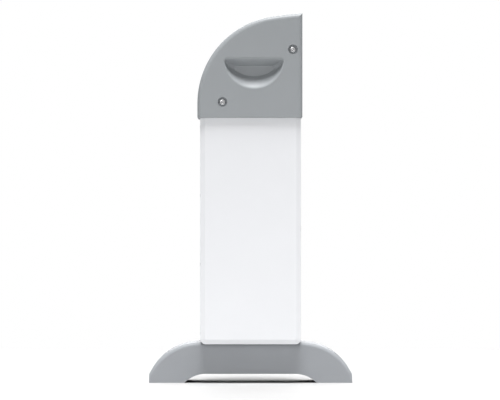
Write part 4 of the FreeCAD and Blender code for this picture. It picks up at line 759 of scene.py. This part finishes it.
# %% Plates, rows of ribs and square rims
PLATE_RINGS = ((0.0, -0.1), (1.0, -0.1), (1.0, 0.6), (0.985, 0.9), (0.96, 1.0), (0.5, 1.0), (0.0, 1.0))
RIB_WIDTH, RIB_RISE = 0.0030, 0.0016
RIM_WIDTH, RIM_RISE = 0.0016, 0.0020


def plate(name, y, z, half_wide, half_high, rise, face_x, material, body):
    """Rings of a unit superellipse, scaled to the plate's halves, shrink to its middle over a rounded rim.

    PLATE_RINGS lists each ring's share of the halves and of the rise. The first two rings lie just
    below the face and close the plate's back.
    """
    outline = frame_path(0.0, 0.0, 1.0, 1.0, count=40)
    share, height = np.array(PLATE_RINGS).T
    height = rise * height
    points = np.empty((len(share), len(outline), 3))
    points[..., 0] = face_x + height[:, None]
    points[..., 1] = y + half_wide * share[:, None] * outline[:, 0]
    points[..., 2] = z + half_high * share[:, None] * outline[:, 1]
    return grid_mesh(name, points, material, body, wrap=True)


def ribs(name, y_ends, z_ends, count, face_x, slot, body="station"):
    """Level cooling ribs, evenly spaced between two heights."""
    for number, z in enumerate(np.linspace(*z_ends, count)):
        ends = [(y_ends[0], z), (y_ends[1], z)]
        stroke(f"{name}_{number}", ends, RIB_WIDTH, RIB_RISE, face_x, looks[slot], body)


def square_rim(name, y, z, half_wide, half_high, face_x, slot, body="station"):
    """The raised rim of a socket."""
    path = frame_path(y, z, half_wide, half_high, count=48)
    return stroke(name, path, RIM_WIDTH, RIM_RISE, face_x, looks[slot], body, closed=True)


# %% Power supply: fan guard, ribs and plate
supply_low, supply_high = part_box("power_supply")
supply_middle_z = (supply_low.z + supply_high.z) / 2
FAN_Y = -0.045
SPOKE_ENDS = (0.010, 0.037)
for number, radius in enumerate((0.010, 0.018, 0.026, 0.034)):
    stroke(
        f"fan_ring_{number}", ring_path(FAN_Y, supply_middle_z, radius), 0.0022, 0.0022, supply_high.x,
        looks["bright_steel"], "station", closed=True,
    )
for number, turn in enumerate(np.radians([45, 135, 225, 315])):
    ends = [
        (FAN_Y + radius * math.cos(turn), supply_middle_z + radius * math.sin(turn)) for radius in SPOKE_ENDS
    ]
    stroke(
        f"fan_spoke_{number}", ends, 0.0024, 0.0018, supply_high.x, looks["bright_steel"], "station",
    )
rib_heights = (supply_low.z + 0.020, supply_middle_z + 0.020)
ribs("supply_rib", (0.010, 0.075), rib_heights, 7, supply_high.x, "box_grey")
plate(
    "supply_plate", 0.0425, supply_high.z - 0.030, 0.030, 0.016, 0.0008, supply_high.x, ink, "station",
)
print("fan guard at z", round(supply_middle_z, 3))

# %% Controller: sockets, ribs and plate
control_low, control_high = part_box("controller_box")
socket_z = control_low.z + 0.018
SOCKETS = 5
for number, y in enumerate(np.linspace(-0.075, 0.015, SOCKETS)):
    square_rim(f"control_socket_{number}", y, socket_z, 0.0075, 0.0055, control_high.x, "bright_steel")
    plate(
        f"control_pins_{number}", y, socket_z, 0.0060, 0.0040, 0.0006, control_high.x,
        looks["black_plastic"], "station",
    )
rib_heights = (control_low.z + 0.036, control_high.z - 0.008)
ribs("control_rib", (-0.080, 0.020), rib_heights, 3, control_high.x, "box_grey")
plate(
    "control_plate", 0.060, (control_low.z + control_high.z) / 2, 0.028, 0.018, 0.0008, control_high.x, ink,
    "station",
)
stroke(
    "control_lamp", [(0.036, socket_z), (0.0385, socket_z)], 0.0020, 0.0008, control_high.x, lamp_green,
    "station",
)
print("controller sockets:", SOCKETS)

# %% Printer: outlet, ribs, lamp and plate
printer_low, printer_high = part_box("printer")
printer_y = (printer_low.y + printer_high.y) / 2
head_z = printer_high.z - 0.090
# The paper outlet is not cut open: this raised black plate inside the rim is painted shade where the slot's
# dark mouth would be.
plate(
    "outlet_painted_shade", printer_y, head_z + 0.020, 0.036, 0.0055, 0.0006, printer_high.x,
    looks["black_plastic"], "station",
)
square_rim("outlet_rim", printer_y, head_z + 0.020, 0.038, 0.0075, printer_high.x, "box_grey")
rib_heights = (head_z + 0.044, head_z + 0.074)
ribs("printer_rib", (printer_y - 0.040, printer_y + 0.010), rib_heights, 5, printer_high.x, "box_grey")
plate(
    "printer_plate", printer_y + 0.032, head_z + 0.066, 0.014, 0.010, 0.0008, printer_high.x, ink, "station",
)
stroke(
    "printer_lamp", [(printer_y + 0.030, head_z + 0.044), (printer_y + 0.0335, head_z + 0.044)],
    0.0024, 0.0010, printer_high.x, lamp_green, "station",
)
print("printer outlet at y", round(printer_y, 3))

# %% [markdown]
# A strip of paper runs from the roll to the back of the printer. It sags a little on its way, and it
# leaves the roll at the tangent that passes through its entry: at the angle atan2(dz, dx) + acos(r / d)
# round the roll's middle, for an entry at (dx, dz) from that middle, d away, and a roll of radius r.


# %% The paper strip
def web(name, path, y_ends, thickness, material, body):
    """A flat section carried along a path in the X-Z plane: points at path +/- (thickness/2) normal.

    Its thickness falls to nothing at both ends, which closes them.
    """
    line = np.asarray(path, float)
    heading = np.gradient(line, axis=0)
    heading /= np.linalg.norm(heading, axis=1, keepdims=True)
    over = np.stack([-heading[:, 1], heading[:, 0]], axis=-1)
    thick = np.full(len(line), thickness / 2)
    thick[[0, -1]] = 0.0
    face_of = np.array([1, 1, -1, -1])
    edge_of = np.array([1, 0, 0, 1])
    points = np.empty((len(line), 4, 3))
    points[..., 0] = line[:, :1] + over[:, :1] * thick[:, None] * face_of
    points[..., 1] = np.asarray(y_ends)[edge_of]
    points[..., 2] = line[:, 1:] + over[:, 1:] * thick[:, None] * face_of
    return grid_mesh(name, points, material, body, wrap=True)


roll_low, roll_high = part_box("paper_roll")
roll_x, roll_z = (roll_low.x + roll_high.x) / 2, (roll_low.z + roll_high.z) / 2
ROLL_GAP = 0.0004
ENTRY_GAP = 0.0003
ENTRY_DROP = 0.040
SAG = 0.0015
PAPER_MARGIN = 0.001
roll_radius = (roll_high.x - roll_low.x) / 2 + ROLL_GAP
entry_x, entry_z = printer_low.x - ENTRY_GAP, printer_high.z - ENTRY_DROP
to_entry = math.hypot(entry_x - roll_x, entry_z - roll_z)
leave = math.atan2(entry_z - roll_z, entry_x - roll_x) + math.acos(roll_radius / to_entry)
leave_x, leave_z = roll_x + roll_radius * math.cos(leave), roll_z + roll_radius * math.sin(leave)
share = np.linspace(0.0, 1.0, 24)
strip_x = leave_x + (entry_x - leave_x) * share
strip_z = leave_z + (entry_z - leave_z) * share
strip_z = strip_z - SAG * np.sin(math.pi * share) ** 2
web(
    "paper_strip", np.stack([strip_x, strip_z], axis=-1),
    (roll_low.y + PAPER_MARGIN, roll_high.y - PAPER_MARGIN), 0.0001, looks["paper"], "station",
)
print("paper strip from", round(leave_x, 4), "to", round(float(strip_x[-1]), 4))

# %% The coin safe: lock and plate
vault_low, vault_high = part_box("coin_vault")
SAFE_LOCK = [
    (0.0145, 0.0), (0.0140, 0.0020), (0.0125, 0.0030), (0.0100, 0.0032), (0.0096, 0.0012), (0.0080, 0.0012),
    (0.0078, 0.0026), (0.0, 0.0028),
]
CORE_RISE = SAFE_LOCK[-1][1]
lock_z = vault_high.z - 0.050
grid_mesh(
    "safe_lock", turned(SAFE_LOCK, vault_high.x, 0.0, lock_z, 1), looks["bright_steel"], "station",
    wrap=True,
)
# The keyway is not cut into the core: this raised black bar is painted shade where the slot would be.
stroke(
    "safe_keyway_painted_shade", [(0.0, lock_z - 0.004), (0.0, lock_z + 0.004)], 0.0016, MARK_RISE,
    vault_high.x + CORE_RISE, looks["black_plastic"], "station",
)
plate(
    "safe_plate", 0.0, vault_low.z + 0.045, 0.034, 0.014, 0.0010, vault_high.x, ink, "station"
)
print("safe lock at z", round(lock_z, 3))
